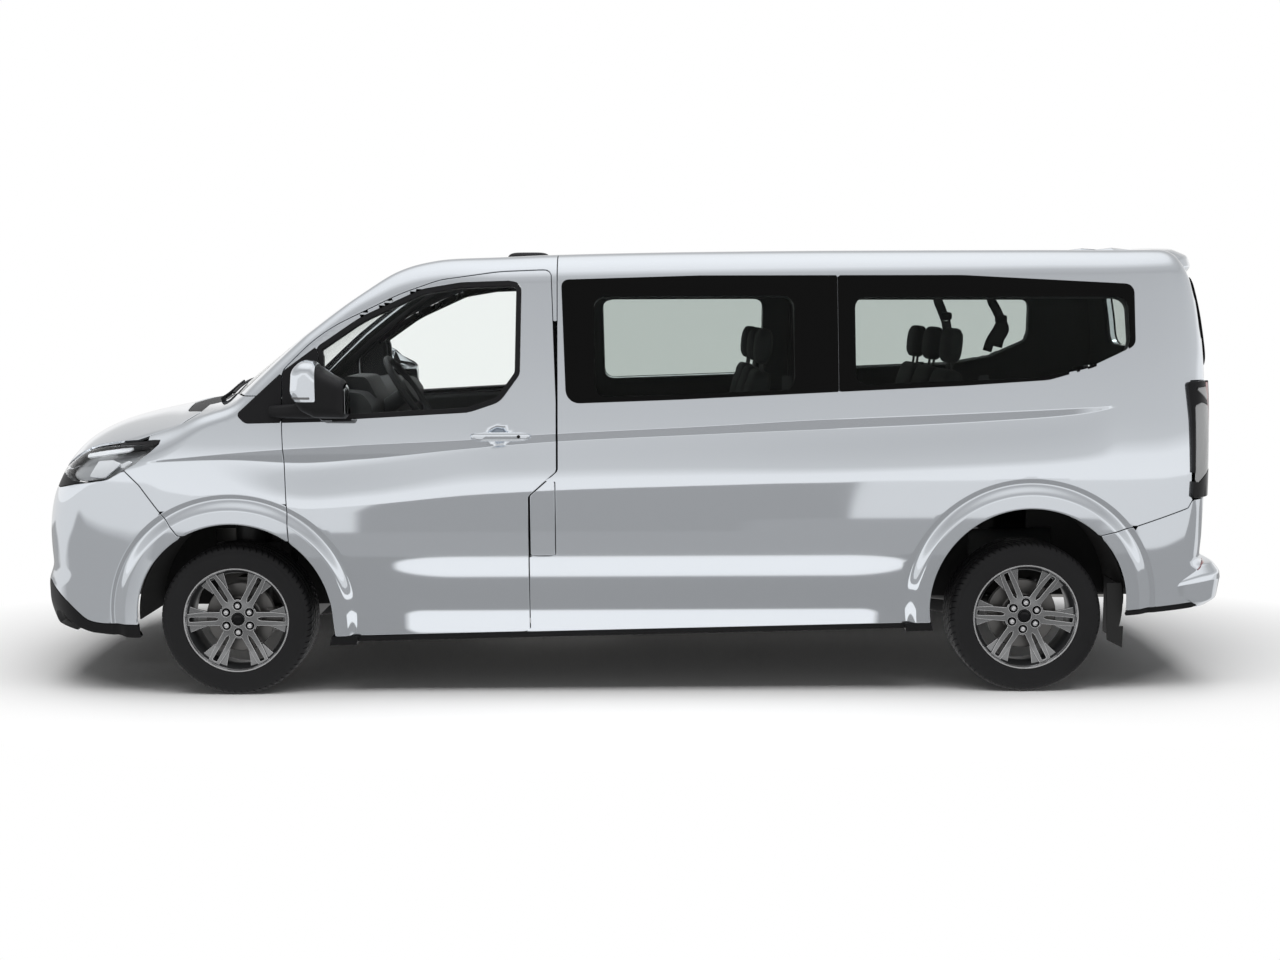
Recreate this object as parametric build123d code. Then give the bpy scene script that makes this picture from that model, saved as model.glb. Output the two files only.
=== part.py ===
from build123d import *
import math
import os

# A nine-seat passenger minibus. Millimetres: +X forward, +Y the vehicle's left, +Z up.
# The origin lies on the ground under the middle of the vehicle.

# ---- Driving dimensions ----
wheelbase = 3500
front_overhang = 1005
rear_overhang = 945
half_width = 1003          # body sides at their widest, without the arch flares
track = 1724
tyre_radius = 336          # as loaded, so also the hub's height
ride_height = tyre_radius
tyre_width = 215
rim_radius = 216
floor_top = 500

side_wall = 70             # a door or side wall, outer skin to inner trim
roof_wall = 40
bonnet_wall = 26
bumper_wall = 60
frame_wall = 58            # windscreen frame and pillars
skin = 20                  # outer layer of a door, which overlaps the step in its frame
door_gap = 6
door_step = 24             # how far the door's inner layer is cut back behind its skin
glass_thickness = 5
glass_bed = 7              # depth of the recess that a bonded side glass lies in
pin_clearance = 0.3

arch_radius = 430
arch_drop = 4              # front arch centre above the hub
rear_arch_rise = 58        # rear arch centre above the hub
flare_width = 115
flare_height = 13
liner_wall = 6
liner_gap = 12

front_x = (wheelbase + rear_overhang - front_overhang) / 2
rear_x = front_x - wheelbase
front_arch_z = ride_height + arch_drop
rear_arch_z = ride_height + rear_arch_rise


# ---- Helpers ----
def inset(points, depth):
    """Each side of a closed outline of (a, b, corner radius) moved inwards by depth."""
    area = sum(p[0] * q[1] - q[0] * p[1] for p, q in zip(points, points[1:] + points[:1]))
    turn = math.copysign(1, area)
    normals = []
    for (a0, b0, *_), (a1, b1, *_) in zip(points, points[1:] + points[:1]):
        length = math.hypot(a1 - a0, b1 - b0)
        normals.append((-turn * (b1 - b0) / length, turn * (a1 - a0) / length))
    moved = []
    for (a, b, *radius), before, after in zip(points, normals[-1:] + normals[:-1], normals):
        share = depth / (1 + before[0] * after[0] + before[1] * after[1])
        corner = (a + share * (before[0] + after[0]), b + share * (before[1] + after[1]))
        convex = turn * (before[0] * after[1] - before[1] * after[0]) > 0
        size = max((radius[0] if radius else 0) - (depth if convex else -depth), 0)
        moved.append((*corner, size if radius else 0))
    return moved


def rounded(points):
    """A face from a closed outline of (a, b) or (a, b, corner radius)."""
    face = make_face(Polyline(*[(p[0], p[1]) for p in points], close=True))
    for a, b, *radius in points:
        if radius and radius[0] > 0:
            corner = face.vertices().sort_by_distance(Vector(a, b, 0))[0]
            face = fillet(corner, radius[0])
    return face


def side_face(points, y):
    """An outline of (x, z) on the upright plane along the vehicle at y."""
    return Plane(origin=(0, y, 0), x_dir=(1, 0, 0), z_dir=(0, -1, 0)) * rounded(points)


def side_prism(points, y0, y1):
    return extrude(side_face(points, y1), y1 - y0)


def front_prism(points, x0, x1):
    """An outline of (y, z) carried along the vehicle from x0 to x1."""
    plane = Plane(origin=(x0, 0, 0), x_dir=(0, 1, 0), z_dir=(1, 0, 0))
    return extrude(plane * rounded(points), x1 - x0)


def top_prism(points, z0, z1):
    """An outline of (x, y) carried up from z0 to z1."""
    return extrude(Plane.XY.offset(z0) * rounded(points), z1 - z0)


def block(x0, x1, y0, y1, z0, z1):
    return Pos((x0 + x1) / 2, (y0 + y1) / 2, (z0 + z1) / 2) * Box(x1 - x0, y1 - y0, z1 - z0)


def rod(start, end, radius):
    """A round bar from start to end."""
    way = Vector(*end) - Vector(*start)
    return extrude(Plane(origin=start, z_dir=way) * Circle(radius), way.length)


def disc(x, z, radius, y0, y1):
    """A cylinder across the vehicle."""
    return rod((x, y0, z), (x, y1, z), radius)


def both(shape):
    """A left piece and its mirror image on the right."""
    return [shape, mirror(shape, about=Plane.XZ)]


def joined(shapes):
    total = shapes[0]
    for shape in shapes[1:]:
        total += shape
    return total


def save(name, *shapes):
    """Writes one node; its solids do not touch."""
    solids = [solid for shape in shapes for solid in shape.solids()]
    big = max(solid.volume for solid in solids)
    solids = [solid for solid in solids if solid.volume > big / 4000]
    shape = solids[0] if len(solids) == 1 else Compound(children=solids)
    export_step(shape, f"parts/{name}.step")


# ---- The body's outer form ----
# Columns: base axle, x from it, z at the centreline, then x and z shifts at the body's side.
body_line = [
    (front_x, 560, 190, -60, 0),
    (front_x, 880, 195, -190, 0),
    (front_x, 985, 320, -230, 0),
    (front_x, 1005, 430, -230, 0),
    (front_x, 997, 640, -230, 0),
    (front_x, 985, 850, -235, 0),
    (front_x, 940, 1000, -235, -30),
    (front_x, 850, 1100, -235, -80),
    (front_x, 680, 1185, -200, -110),
    (front_x, 400, 1255, -190, -75),
    (front_x, 172, 1298, -235, 0),
    (front_x, -160, 1551, -235, 0),
    (front_x, -443, 1757, -235, 0),
    (front_x, -580, 1838, -225, 0),
    (front_x, -740, 1897, -190, 0),
    (front_x, -930, 1932, -120, 0),
    (front_x, -1400, 1957, 0, 0),
    (rear_x, 500, 1968, 0, 0),
    (rear_x, -560, 1964, 0, 0),
    (rear_x, -740, 1945, 60, 0),
    (rear_x, -830, 1790, 140, 0),
    (rear_x, -885, 1450, 140, 0),
    (rear_x, -892, 1050, 140, 0),
    (rear_x, -880, 600, 130, 0),
    (rear_x, -938, 520, 90, 0),
    (rear_x, -945, 430, 90, 0),
    (rear_x, -890, 345, 90, 0),
    (rear_x, -440, 305, 0, 0),
    (rear_x, 440, 293, 0, 0),
    (front_x, -440, 237, 0, 0),
]

# Half of the cross-section. Columns: y, z, corner radius.
cross_line = [
    (half_width - 70, 100, 0),
    (half_width - 38, 300, 0),
    (half_width - 14, 520, 200),
    (half_width, 860, 300),
    (half_width - 18, 1110, 200),
    (half_width - 76, 1450, 400),
    (half_width - 160, 1872, 90),
    (half_width - 290, 1944, 300),
]
roof_crown = 1978

# Half of the plan. Columns: base axle, x from it, y, corner radius.
plan_line = [
    (rear_x, -1000, 640, 0),
    (rear_x, -880, 860, 120),
    (rear_x, -730, 965, 200),
    (rear_x, -480, half_width + 1, 400),
    (front_x, 120, half_width + 1, 600),
    (front_x, 560, 970, 400),
    (front_x, 800, 880, 300),
    (front_x, 930, 700, 200),
    (front_x, 1060, 300, 0),
]


def body_volume(depth):
    """The body's outer form, moved inwards by depth."""
    sections = []
    for y, bend in ((-half_width - 40, 1), (0, 0), (half_width + 40, 1)):
        points = [(base + x + bend * dx, z + bend * dz) for base, x, z, dx, dz in body_line]
        sections.append(side_face(inset(points, depth), y))
    left = [(y, z, r) for y, z, r in cross_line]
    right = [(-y, z, r) for y, z, r in reversed(cross_line)]
    cross = inset(left + [(0, roof_crown, 0)] + right, depth)
    near = [(base + x, y, r) for base, x, y, r in plan_line]
    far = [(x, -y, r) for x, y, r in reversed(near)]
    plan = inset(near + far, depth)
    tube = front_prism(cross, rear_x - 1200, front_x + 1200)
    return loft(sections) & tube & top_prism(plan, 0, 2200)


volumes = {}


def volume(depth):
    if depth not in volumes:
        volumes[depth] = body_volume(depth)
    return volumes[depth]


def shell(outer, inner):
    """The layer of the body between two depths."""
    return volume(outer) - volume(inner)


def arch(x, z, radius, y0=540, y1=1200):
    return disc(x, z, radius, y0, y1) + disc(x, z, radius, -y1, -y0)


arches = arch(front_x, front_arch_z, arch_radius) + arch(rear_x, rear_arch_z, arch_radius)
flare_radius = arch_radius + flare_width
flare_zone = arch(front_x, front_arch_z, flare_radius, 900) + arch(rear_x, rear_arch_z, flare_radius, 900)
flares = (volume(-flare_height) & flare_zone) - volume(10)


def wall(depth, inner=0):
    """The body's wall down to depth, with the arch flares, and with the wheel arches cut out."""
    layer = shell(inner, depth)
    if inner == 0:
        layer += flares
    return layer - arches


# ---- Outlines of the openings, as (x, z) or (y, z) ----
def from_front(*points):
    return [(front_x + x, *rest) for x, *rest in points]


door_line = from_front(
    (-440, 263), (-440, 600), (-258, 600), (-231, 1190, 200), (-231, 1440, 60),
    (-400, 1606, 900), (-742, 1770, 900), (-915, 1830, 300), (-1178, 1866, 900), (-1405, 1874, 30),
    (-1427, 1300, 0), (-1427, 997, 20), (-1304, 889, 20), (-1304, 281, 0),
)
door_window = from_front(
    (-378, 1537, 30), (-574, 1671, 600), (-840, 1790, 200), (-1010, 1818, 300), (-1275, 1826, 45),
    (-1268, 1420, 60), (-1180, 1300, 90), (-1046, 1256, 120), (-500, 1224, 50),
)
frame_width = 24
# The side glass band, and its two clear windows. Columns: x from the rear axle, z, corner radius.
mid_x = rear_x + 1750
band_line = [
    (mid_x + 300, 1829, 30), (mid_x + 279, 1291, 60), (mid_x - 218, 1307, 300), (mid_x - 1439, 1361, 500),
    (rear_x - 79, 1385, 200), (rear_x - 280, 1440, 200), (rear_x - 462, 1535, 40), (rear_x - 464, 1800, 40),
    (mid_x - 1460, 1842, 600), (mid_x - 310, 1845, 600),
]
band_split = mid_x - 912
clear_lines = [
    [(mid_x + 158, 1756, 50), (mid_x + 150, 1318, 50), (mid_x - 720, 1345, 50), (mid_x - 720, 1756, 50)],
    [(mid_x - 987, 1750, 50), (mid_x - 987, 1365, 50), (rear_x - 260, 1430, 60), (rear_x - 430, 1530, 40),
     (rear_x - 430, 1740, 50)],
]
flap_line = from_front((-1421, 990, 20), (-1310, 893, 12), (-1310, 626, 12), (-1421, 626, 12))
sill_line = [(front_x - 300, 259), (rear_x + 300, 318), (rear_x + 300, 100), (front_x - 300, 100)]
seam = 3

bonnet_side = from_front(
    (40, 1400), (78, 1310), (207, 1220, 300), (296, 1146, 60), (508, 1126, 300), (650, 1101, 200),
    (740, 1052, 80), (850, 985, 80), (1100, 935), (1100, 1400),
)
bonnet_plan = from_front((95, -900), (180, -350, 900), (180, 350, 900), (95, 900), (1100, 900), (1100, -900))
lamp_side = from_front(
    (293, 1141, 6), (508, 1121, 300), (650, 1096, 200), (740, 1047, 60), (850, 980, 60), (1050, 940),
    (1050, 880), (870, 905, 60), (700, 944, 60), (544, 966, 100), (410, 1041, 100), (344, 1093, 60),
)
lamp_inner_y = 560
bumper_side = from_front(
    (200, 720), (232, 723), (331, 853, 60), (398, 944, 60), (462, 1005), (1100, 1005), (1100, 100), (200, 100),
)
grille_front = [(-545, 905, 40), (-430, 590, 60), (430, 590, 60), (545, 905, 40)]
intake_front = [(-560, 420, 30), (-480, 270, 40), (480, 270, 40), (560, 420, 30)]
screen_front = [(-812, 1318, 50), (-690, 1872, 70), (690, 1872, 70), (812, 1318, 50)]
screen_x0, screen_x1 = front_x - 1000, front_x + 300

tail_lamp_side = [(rear_x + x, z, r) for x, z, r in (
    (-688, 1377, 15), (-704, 1210, 200), (-713, 956, 200), (-709, 866, 10), (-1100, 866, 0), (-1100, 1377, 0))]
tail_lamp_y = 812
rear_bumper_side = [(rear_x + x, z) for x, z in (
    (-200, 150), (-200, 660), (-310, 708), (-466, 746), (-696, 822), (-720, 860), (-1100, 860), (-1100, 150))]
gate_front = [(-812, 622, 60), (812, 622, 60), (806, 900, 0), (790, 1380, 0), (735, 1800, 0), (700, 1990, 0),
              (-700, 1990, 0), (-735, 1800, 0), (-790, 1380, 0), (-806, 900, 0)]
gate_x = rear_x - 545
gate_glass_front = [(-735, 1432, 60), (735, 1432, 60), (690, 1820, 60), (-690, 1820, 60)]
gate_clear_front = [(-650, 1500, 60), (650, 1500, 60), (610, 1775, 60), (-610, 1775, 60)]
slide_line = [(mid_x + 296, 1868, 30), (mid_x + 296, 330, 30), (mid_x - 860, 345, 30), (mid_x - 872, 1868, 30)]
roof_half = 700
roof_front = front_x - 800


# ---- Regions ----
door_hole = side_prism(door_line, 500, 1300)
door_hole_right = mirror(door_hole, about=Plane.XZ)
bonnet_zone = side_prism(bonnet_side, -1200, 1200) & top_prism(bonnet_plan, 800, 1500)
lamp_zone = side_prism(lamp_side, lamp_inner_y, 1200) + side_prism(lamp_side, -1200, -lamp_inner_y)
bumper_zone = side_prism(bumper_side, -1200, 1200)
roof_zone = block(gate_x, roof_front, -roof_half, roof_half, 1700, 2100)
gate_zone = front_prism(gate_front, rear_x - 1300, gate_x - door_gap)
gate_core = front_prism(inset(gate_front, door_step), rear_x - 1300, gate_x - door_gap)
gate_hole = front_prism(inset(gate_front, -door_gap), rear_x - 1300, gate_x)
tail_lamp_zone = side_prism(tail_lamp_side, tail_lamp_y, 1200)
tail_lamp_zones = joined(both(tail_lamp_zone))
rear_bumper_zone = side_prism(rear_bumper_side, -1200, 1200)
front_limit = front_x - 1300
below_bonnet = inset(bonnet_side, -seam)


def main():
    os.makedirs("parts", exist_ok=True)
    body_panels()
    front_end()
    rear_end()
    doors()
    glazing()
    underbody()
    wheels()
    cabin()


# ---- Hinges ----
barrel_radius = 6
barrel_length = 30
door_hinge_x = front_x - 252
door_hinge_y = half_width + flare_height + 3
door_hinge_low = 712
door_hinge_high = 1242
bonnet_hinge_x = front_x + 84
bonnet_hinge_z = 1312
bonnet_hinge_y = 690
bonnet_leaf = 104
gate_hinge_x = gate_x - 2
gate_hinge_z = roof_crown + 8
gate_hinge_y = 520
flap_wall = 8
flap_bed = 30
flap_hinge_x = front_x - 1422
flap_hinge_y = half_width + 8
flap_hinge_z = 700


def upright_barrel(x, y, z):
    return rod((x, y, z), (x, y, z + barrel_length), barrel_radius)


def door_lugs(z):
    """The fixed barrel below and the door's barrel above, each on its leaf."""
    fixed = upright_barrel(door_hinge_x, door_hinge_y, z)
    fixed += block(door_hinge_x, door_hinge_x + 44, door_hinge_y - 4, door_hinge_y + 4, z, z + barrel_length)
    fixed += block(door_hinge_x + 36, door_hinge_x + 44, half_width - 62, door_hinge_y + 4, z, z + barrel_length)
    top = z + barrel_length + pin_clearance
    moving = upright_barrel(door_hinge_x, door_hinge_y, top)
    moving += block(door_hinge_x - 50, door_hinge_x, door_hinge_y - 4, door_hinge_y + 4, top, top + barrel_length)
    moving += block(door_hinge_x - 50, door_hinge_x - 42, half_width - 62, door_hinge_y + 4, top,
                    top + barrel_length)
    return fixed, moving


# The side wall with its cantrail, as (y, z); the sill's underside turns in as far as sill_inner_y.
sill_inner_y = 852
side_outline = [(sill_inner_y, 200), (sill_inner_y, 1100), (690, 1500), (690, 2100), (1300, 2100), (1300, 200)]
sill_zone = side_prism(sill_line, sill_inner_y, 1300)


def cross_barrel(x, z, y):
    return rod((x, y, z), (x, y + barrel_length, z), barrel_radius)


rack_x = -200
rack_spacing_x = 1800
rack_spacing_y = 1280
rack_hole_radius = 4.5
pod_line = from_front((-1148, 1940), (-1211, 1972, 8), (-1336, 1976, 6), (-1352, 1940))


def body_panels():
    side_zone = front_prism(side_outline, rear_x - 1200, front_x - 1432)
    side_zone += block(front_x - 1500, front_x - 1200, sill_inner_y, 1300, 200, 992)
    side = (wall(side_wall) & side_zone) - sill_zone
    side -= door_hole
    side -= gate_hole
    side -= tail_lamp_zone
    side -= rear_bumper_zone
    side -= block(gate_x - 400, roof_front, 0, roof_half, 1700, 2100)
    side -= side_prism(band_line, 500, 1300) & shell(-5, glass_bed)
    for line in clear_lines:
        side -= side_prism(line, 500, 1300)
    plain_right = mirror(side, about=Plane.XZ)
    left = side - (side_prism(inset(flap_line, -seam), 500, 1300) & shell(-5, flap_bed))
    left += upright_barrel(flap_hinge_x, flap_hinge_y, flap_hinge_z)
    left += block(flap_hinge_x - 22, flap_hinge_x, half_width - 12, flap_hinge_y + 3, flap_hinge_z,
                  flap_hinge_z + barrel_length)
    save("body_side_left", left)
    slide_hole = mirror(side_prism(slide_line, 500, 1300), about=Plane.XZ)
    save("body_side_right", plain_right - slide_hole)
    save("sliding_door", plain_right & slide_hole)
    flap = side_prism(flap_line, 500, 1300) & shell(0, flap_wall)
    flap_top = flap_hinge_z + barrel_length + pin_clearance
    flap += upright_barrel(flap_hinge_x, flap_hinge_y, flap_top)
    flap += block(flap_hinge_x, flap_hinge_x + 22, half_width - flap_wall, flap_hinge_y + 3, flap_top,
                  flap_top + barrel_length)
    save("fuel_flap", flap)
    roof = (shell(0, roof_wall) & roof_zone) + roof_bows() + gate_hinge_lugs()[0]
    for x in (-rack_spacing_x / 2, rack_spacing_x / 2):
        for y in (-rack_spacing_y / 2, rack_spacing_y / 2):
            roof -= rod((rack_x + x, y, 1700), (rack_x + x, y, 2100), rack_hole_radius)
    save("roof_panel", roof)
    save("roof_pod", side_prism(pod_line, -65, 65) - volume(0))
    rail = [(mid_x - 890, 1262), (mid_x - 890, 1284), (rear_x - 440, 1306), (rear_x - 440, 1284)]
    save("slide_rail", mirror(side_prism(rail, 800, 1300) & shell(-4, 0), about=Plane.XZ))


def gate_hinge_lugs():
    """Fixed barrels on the roof's rear edge, and the tailgate's barrels outside them."""
    fixed, moving = [], []
    for side in (-1, 1):
        inner = gate_hinge_y * side
        outer = inner + side * (barrel_length + pin_clearance)
        for y, leaf, group in ((inner, 1, fixed), (outer, -1, moving)):
            low, high = sorted((y, y + side * barrel_length))
            barrel = cross_barrel(gate_hinge_x, gate_hinge_z, low)
            x0, x1 = sorted((gate_hinge_x, gate_hinge_x + leaf * 30))
            foot0, foot1 = sorted((gate_hinge_x + leaf * 22, gate_hinge_x + leaf * 30))
            group.append(barrel + block(x0, x1, low, high, gate_hinge_z - 4, gate_hinge_z + 4)
                         + block(foot0, foot1, low, high, gate_hinge_z - 60, gate_hinge_z + 4))
    return joined(fixed), joined(moving)


def roof_bows():
    """Cross ribs under the roof skin."""
    bows = []
    for share in range(1, 5):
        x = roof_front + (gate_x - roof_front) * share / 5
        bows.append(block(x - 30, x + 30, -roof_half, roof_half, 1700, 2100) & shell(roof_wall - 1, roof_wall + 18))
    return joined(bows)


# ---- Front end ----
cowl_zone = block(front_x + 40, front_x + 300, -790, 790, 1238, 1326)
bulkhead_x = front_x - 110
bulkhead_wall = 40
dash_floor = 1238


def front_end():
    frame_zone = block(front_x - 1432, front_x + 300, -1300, 1300, dash_floor, 2100)
    frame = shell(0, frame_wall) & frame_zone
    frame -= door_hole + door_hole_right
    frame -= bonnet_zone
    frame -= roof_zone
    frame -= cowl_zone
    frame -= front_prism(screen_front, screen_x0, screen_x1)
    frame += joined(both(door_lugs(door_hinge_high)[0]))
    save("cab_frame", frame)
    cowl = (shell(0, frame_wall) & cowl_zone) - bonnet_zone - front_prism(screen_front, screen_x0, screen_x1)
    lugs = [block(bonnet_hinge_x - 30, bonnet_hinge_x, y, y + barrel_length, bonnet_hinge_z - 4, bonnet_hinge_z + 4)
            + block(bonnet_hinge_x - 30, bonnet_hinge_x - 22, y, y + barrel_length, 1240, bonnet_hinge_z + 4)
            + cross_barrel(bonnet_hinge_x, bonnet_hinge_z, y)
            for y in (-bonnet_hinge_y - barrel_length, bonnet_hinge_y)]
    save("cowl", cowl + joined(lugs))
    save("bonnet", bonnet())
    save("wipers", wiper(620, 20), wiper(-60, -640))
    wing_zone = block(front_x - 300, front_x + 520, 640, 1300, 300, dash_floor)
    wing = wall(frame_wall) & wing_zone
    wing -= door_hole
    wing -= bonnet_zone
    wing -= bumper_zone
    wing -= lamp_zone
    wing += door_lugs(door_hinge_low)[0]
    save("front_wings", *both(wing))
    bumper = wall(bumper_wall) & bumper_zone
    bumper -= lamp_zone
    bumper -= bonnet_zone
    grille_zone = front_prism(grille_front, front_x + 500, front_x + 1200)
    intake_zone = front_prism(intake_front, front_x + 500, front_x + 1200)
    bumper -= grille_zone + intake_zone
    save("front_bumper", bumper)
    bars = [block(front_x + 500, front_x + 1200, -600, 600, z - 9, z + 9) for z in range(620, 905, 45)]
    bars += [block(front_x + 500, front_x + 1200, -600, 600, z - 8, z + 8) for z in (300, 345, 390)]
    posts = [block(front_x + 500, front_x + 1200, y - 12, y + 12, 200, 1000) for y in (-330, 0, 330)]
    mesh = joined(bars) & shell(8, 30)
    mesh += joined(posts) & shell(26, 44)
    save("grille", mesh & grille_zone, mesh & intake_zone)
    save("headlamps", (shell(0, lamp_depth) & lamp_zone) - bonnet_zone)
    carrier = block(front_x + 640, front_x + 690, -430, 430, 330, 870)
    carrier += block(front_x + 640, front_x + 740, -lamp_inner_y - 60, lamp_inner_y + 60, 870, 905) & volume(lamp_depth)
    for y in (-520, 520):
        carrier += block(bulkhead_x, front_x + 690, y - 20, y + 20, 500, 620)
        carrier += block(front_x + 640, front_x + 690, min(y, 0), max(y, 0), 540, 600)
    save("front_carrier", carrier)


lamp_depth = 90


def screen_point(y, z, stand_off):
    """A point over the windscreen at height z, stand_off outside the glass."""
    (base, x0, z0, dx, _), (_, x1, z1, *_) = body_line[10], body_line[11]
    slope = (z1 - z0) / (x1 - x0)
    length = math.hypot(slope, 1)
    x = base + x0 + (z - z0) / slope + dx * (y / (half_width + 40)) ** 2
    return (x - stand_off * slope / length, y, z + stand_off / length)


def wiper(pivot_y, tip_y):
    """A spindle through the cowl and an arm that lies along the screen's foot."""
    middle_y = (pivot_y + tip_y) / 2
    points = [screen_point(y, 1345, 22) for y in (pivot_y, middle_y, tip_y)]
    neck = screen_point(pivot_y, 1304, 14)
    blade = rod(points[0], points[1], 7) + rod(points[1], points[2], 7) + rod(neck, points[0], 7)
    blade += rod((neck[0], neck[1], 1250), neck, 9)
    return (blade + Pos(*points[1]) * Sphere(7)) - volume(0)


def bonnet():
    panel = shell(0, bonnet_wall) & side_prism(inset(bonnet_side, door_gap), -1200, 1200)
    panel &= top_prism(inset(bonnet_plan, door_gap), 800, 1500)
    for y in (-bonnet_hinge_y + pin_clearance, bonnet_hinge_y - barrel_length - pin_clearance):
        panel += cross_barrel(bonnet_hinge_x, bonnet_hinge_z, y)
        panel += block(bonnet_hinge_x, bonnet_hinge_x + bonnet_leaf, y, y + barrel_length, bonnet_hinge_z - 4,
                       bonnet_hinge_z + 4)
        panel += block(bonnet_hinge_x + bonnet_leaf - 8, bonnet_hinge_x + bonnet_leaf, y, y + barrel_length,
                       bonnet_hinge_z - 60, bonnet_hinge_z + 4)
    return panel


# ---- Rear end ----
spoiler_line = [(rear_x + x, z) for x, z in (
    (-562, 1930), (-575, 1966), (-720, 1982), (-815, 1980), (-885, 1950), (-905, 1900), (-880, 1868), (-790, 1860),
    (-730, 1880))]


def rear_end():
    bumper = wall(bumper_wall) & rear_bumper_zone
    bumper -= gate_hole
    bumper -= block(rear_x - 800, rear_x, -sill_inner_y, sill_inner_y, 200, 700)
    save("rear_bumper", bumper)
    save("tail_lamps", (shell(-4, side_wall) & tail_lamp_zones) - gate_hole)
    gate = (shell(0, skin) & gate_zone) + (shell(skin, side_wall) & gate_core)
    spoiler = loft([side_face([(x + 60 * k, z - 34 * k) for x, z in spoiler_line], y)
                    for y, k in ((-700, 1), (0, 0), (700, 1))])
    gate += spoiler - volume(0)
    gate -= front_prism(gate_clear_front, rear_x - 1300, gate_x)
    gate += block(rear_x - 915, rear_x - 860, -300, 300, 1040, 1090)
    gate += gate_hinge_lugs()[1]
    save("tailgate", gate)
    plate = [(rear_x - 357, 486), (rear_x - 365, 229), (rear_x - 433, 194), (rear_x - 440, 486)]
    web = [(rear_x - 410, 486), (rear_x - 410, 229), (rear_x - 402, 229), (rear_x - 402, 486)]
    flap = side_prism(plate, 940, 948) + side_prism(web, 760, 948)
    inside = disc(rear_x, rear_arch_z, arch_radius - pin_clearance, 700, 1100)
    save("mud_flaps", *both(flap & (inside + block(rear_x - 500, rear_x, 700, 1100, 100, 290))))


# ---- Doors ----
def door():
    """The left front door: its outer skin overlaps the step that its inner layer clears."""
    panel = wall(skin) & side_prism(inset(door_line, door_gap), 500, 1300)
    core = inset(door_line, door_step)
    panel += (shell(skin, side_wall) - arch(front_x, front_arch_z, arch_radius + door_gap)) & side_prism(core, 500, 1300)
    panel -= side_prism(door_window, 500, 1300)
    panel -= block(front_x - 1500, front_x, 500, half_width - side_wall - door_gap, 200, 350)
    panel += handle()
    for z in (door_hinge_low, door_hinge_high):
        panel += door_lugs(z)[1]
    return panel


def handle():
    grip = block(front_x - 1310, front_x - 1064, half_width + 6, half_width + 24, 1139, 1168)
    for x in (-1300, -1090):
        grip += block(front_x + x, front_x + x + 26, half_width - 40, half_width + 10, 1141, 1166)
    return grip


mirror_line = from_front((-543, 1233, 20), (-543, 1437, 30), (-415, 1487, 40), (-300, 1474, 60), (-289, 1330, 40),
                         (-400, 1238, 30))
mirror_inner_y = 985
mirror_outer_y = 1137


def door_mirror():
    head = side_prism(mirror_line, mirror_inner_y, mirror_outer_y)
    arm = block(front_x - 500, front_x - 315, half_width - 80, mirror_outer_y - 60, 1238, 1296)
    return (head + arm) - volume(0)


def doors():
    panel = door()
    glass = (shell(10, 10 + glass_thickness)) & side_prism(door_window, 500, 1300)
    wing_mirror = door_mirror()
    for side, made in (("left", lambda s: s), ("right", lambda s: mirror(s, about=Plane.XZ))):
        save(f"front_door_{side}", made(panel))
        save(f"door_glass_{side}", made(glass))
        save(f"mirror_{side}", made(wing_mirror))


# ---- Glazing ----
def glazing():
    save("windscreen", shell(4, 4 + glass_thickness) & front_prism(screen_front, screen_x0, screen_x1))
    pane = shell(glass_bed - glass_thickness, glass_bed - pin_clearance) & side_prism(band_line, 500, 1300)
    pane -= block(band_split - 3, band_split + 3, 500, 1300, 1200, 2000)
    right = mirror(pane, about=Plane.XZ)
    slide_edge = mirror(side_prism(slide_line, 500, 1300) - side_prism(inset(slide_line, seam), 500, 1300),
                        about=Plane.XZ)
    save("side_glass", pane, right - slide_edge)
    save("tailgate_glass", shell(-6, 0) & front_prism(gate_glass_front, rear_x - 1300, gate_x - 150))


# ---- Underbody ----
rail_y = 470
floor_wall = 45
rail_bottom = floor_top - 150
cross_bottom = floor_top - 110
axle_z = ride_height
towbar_spacing_z = 60
towbar_hole_radius = 6.5
kingpin_y = 790
kingpin_radius = 12


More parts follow.
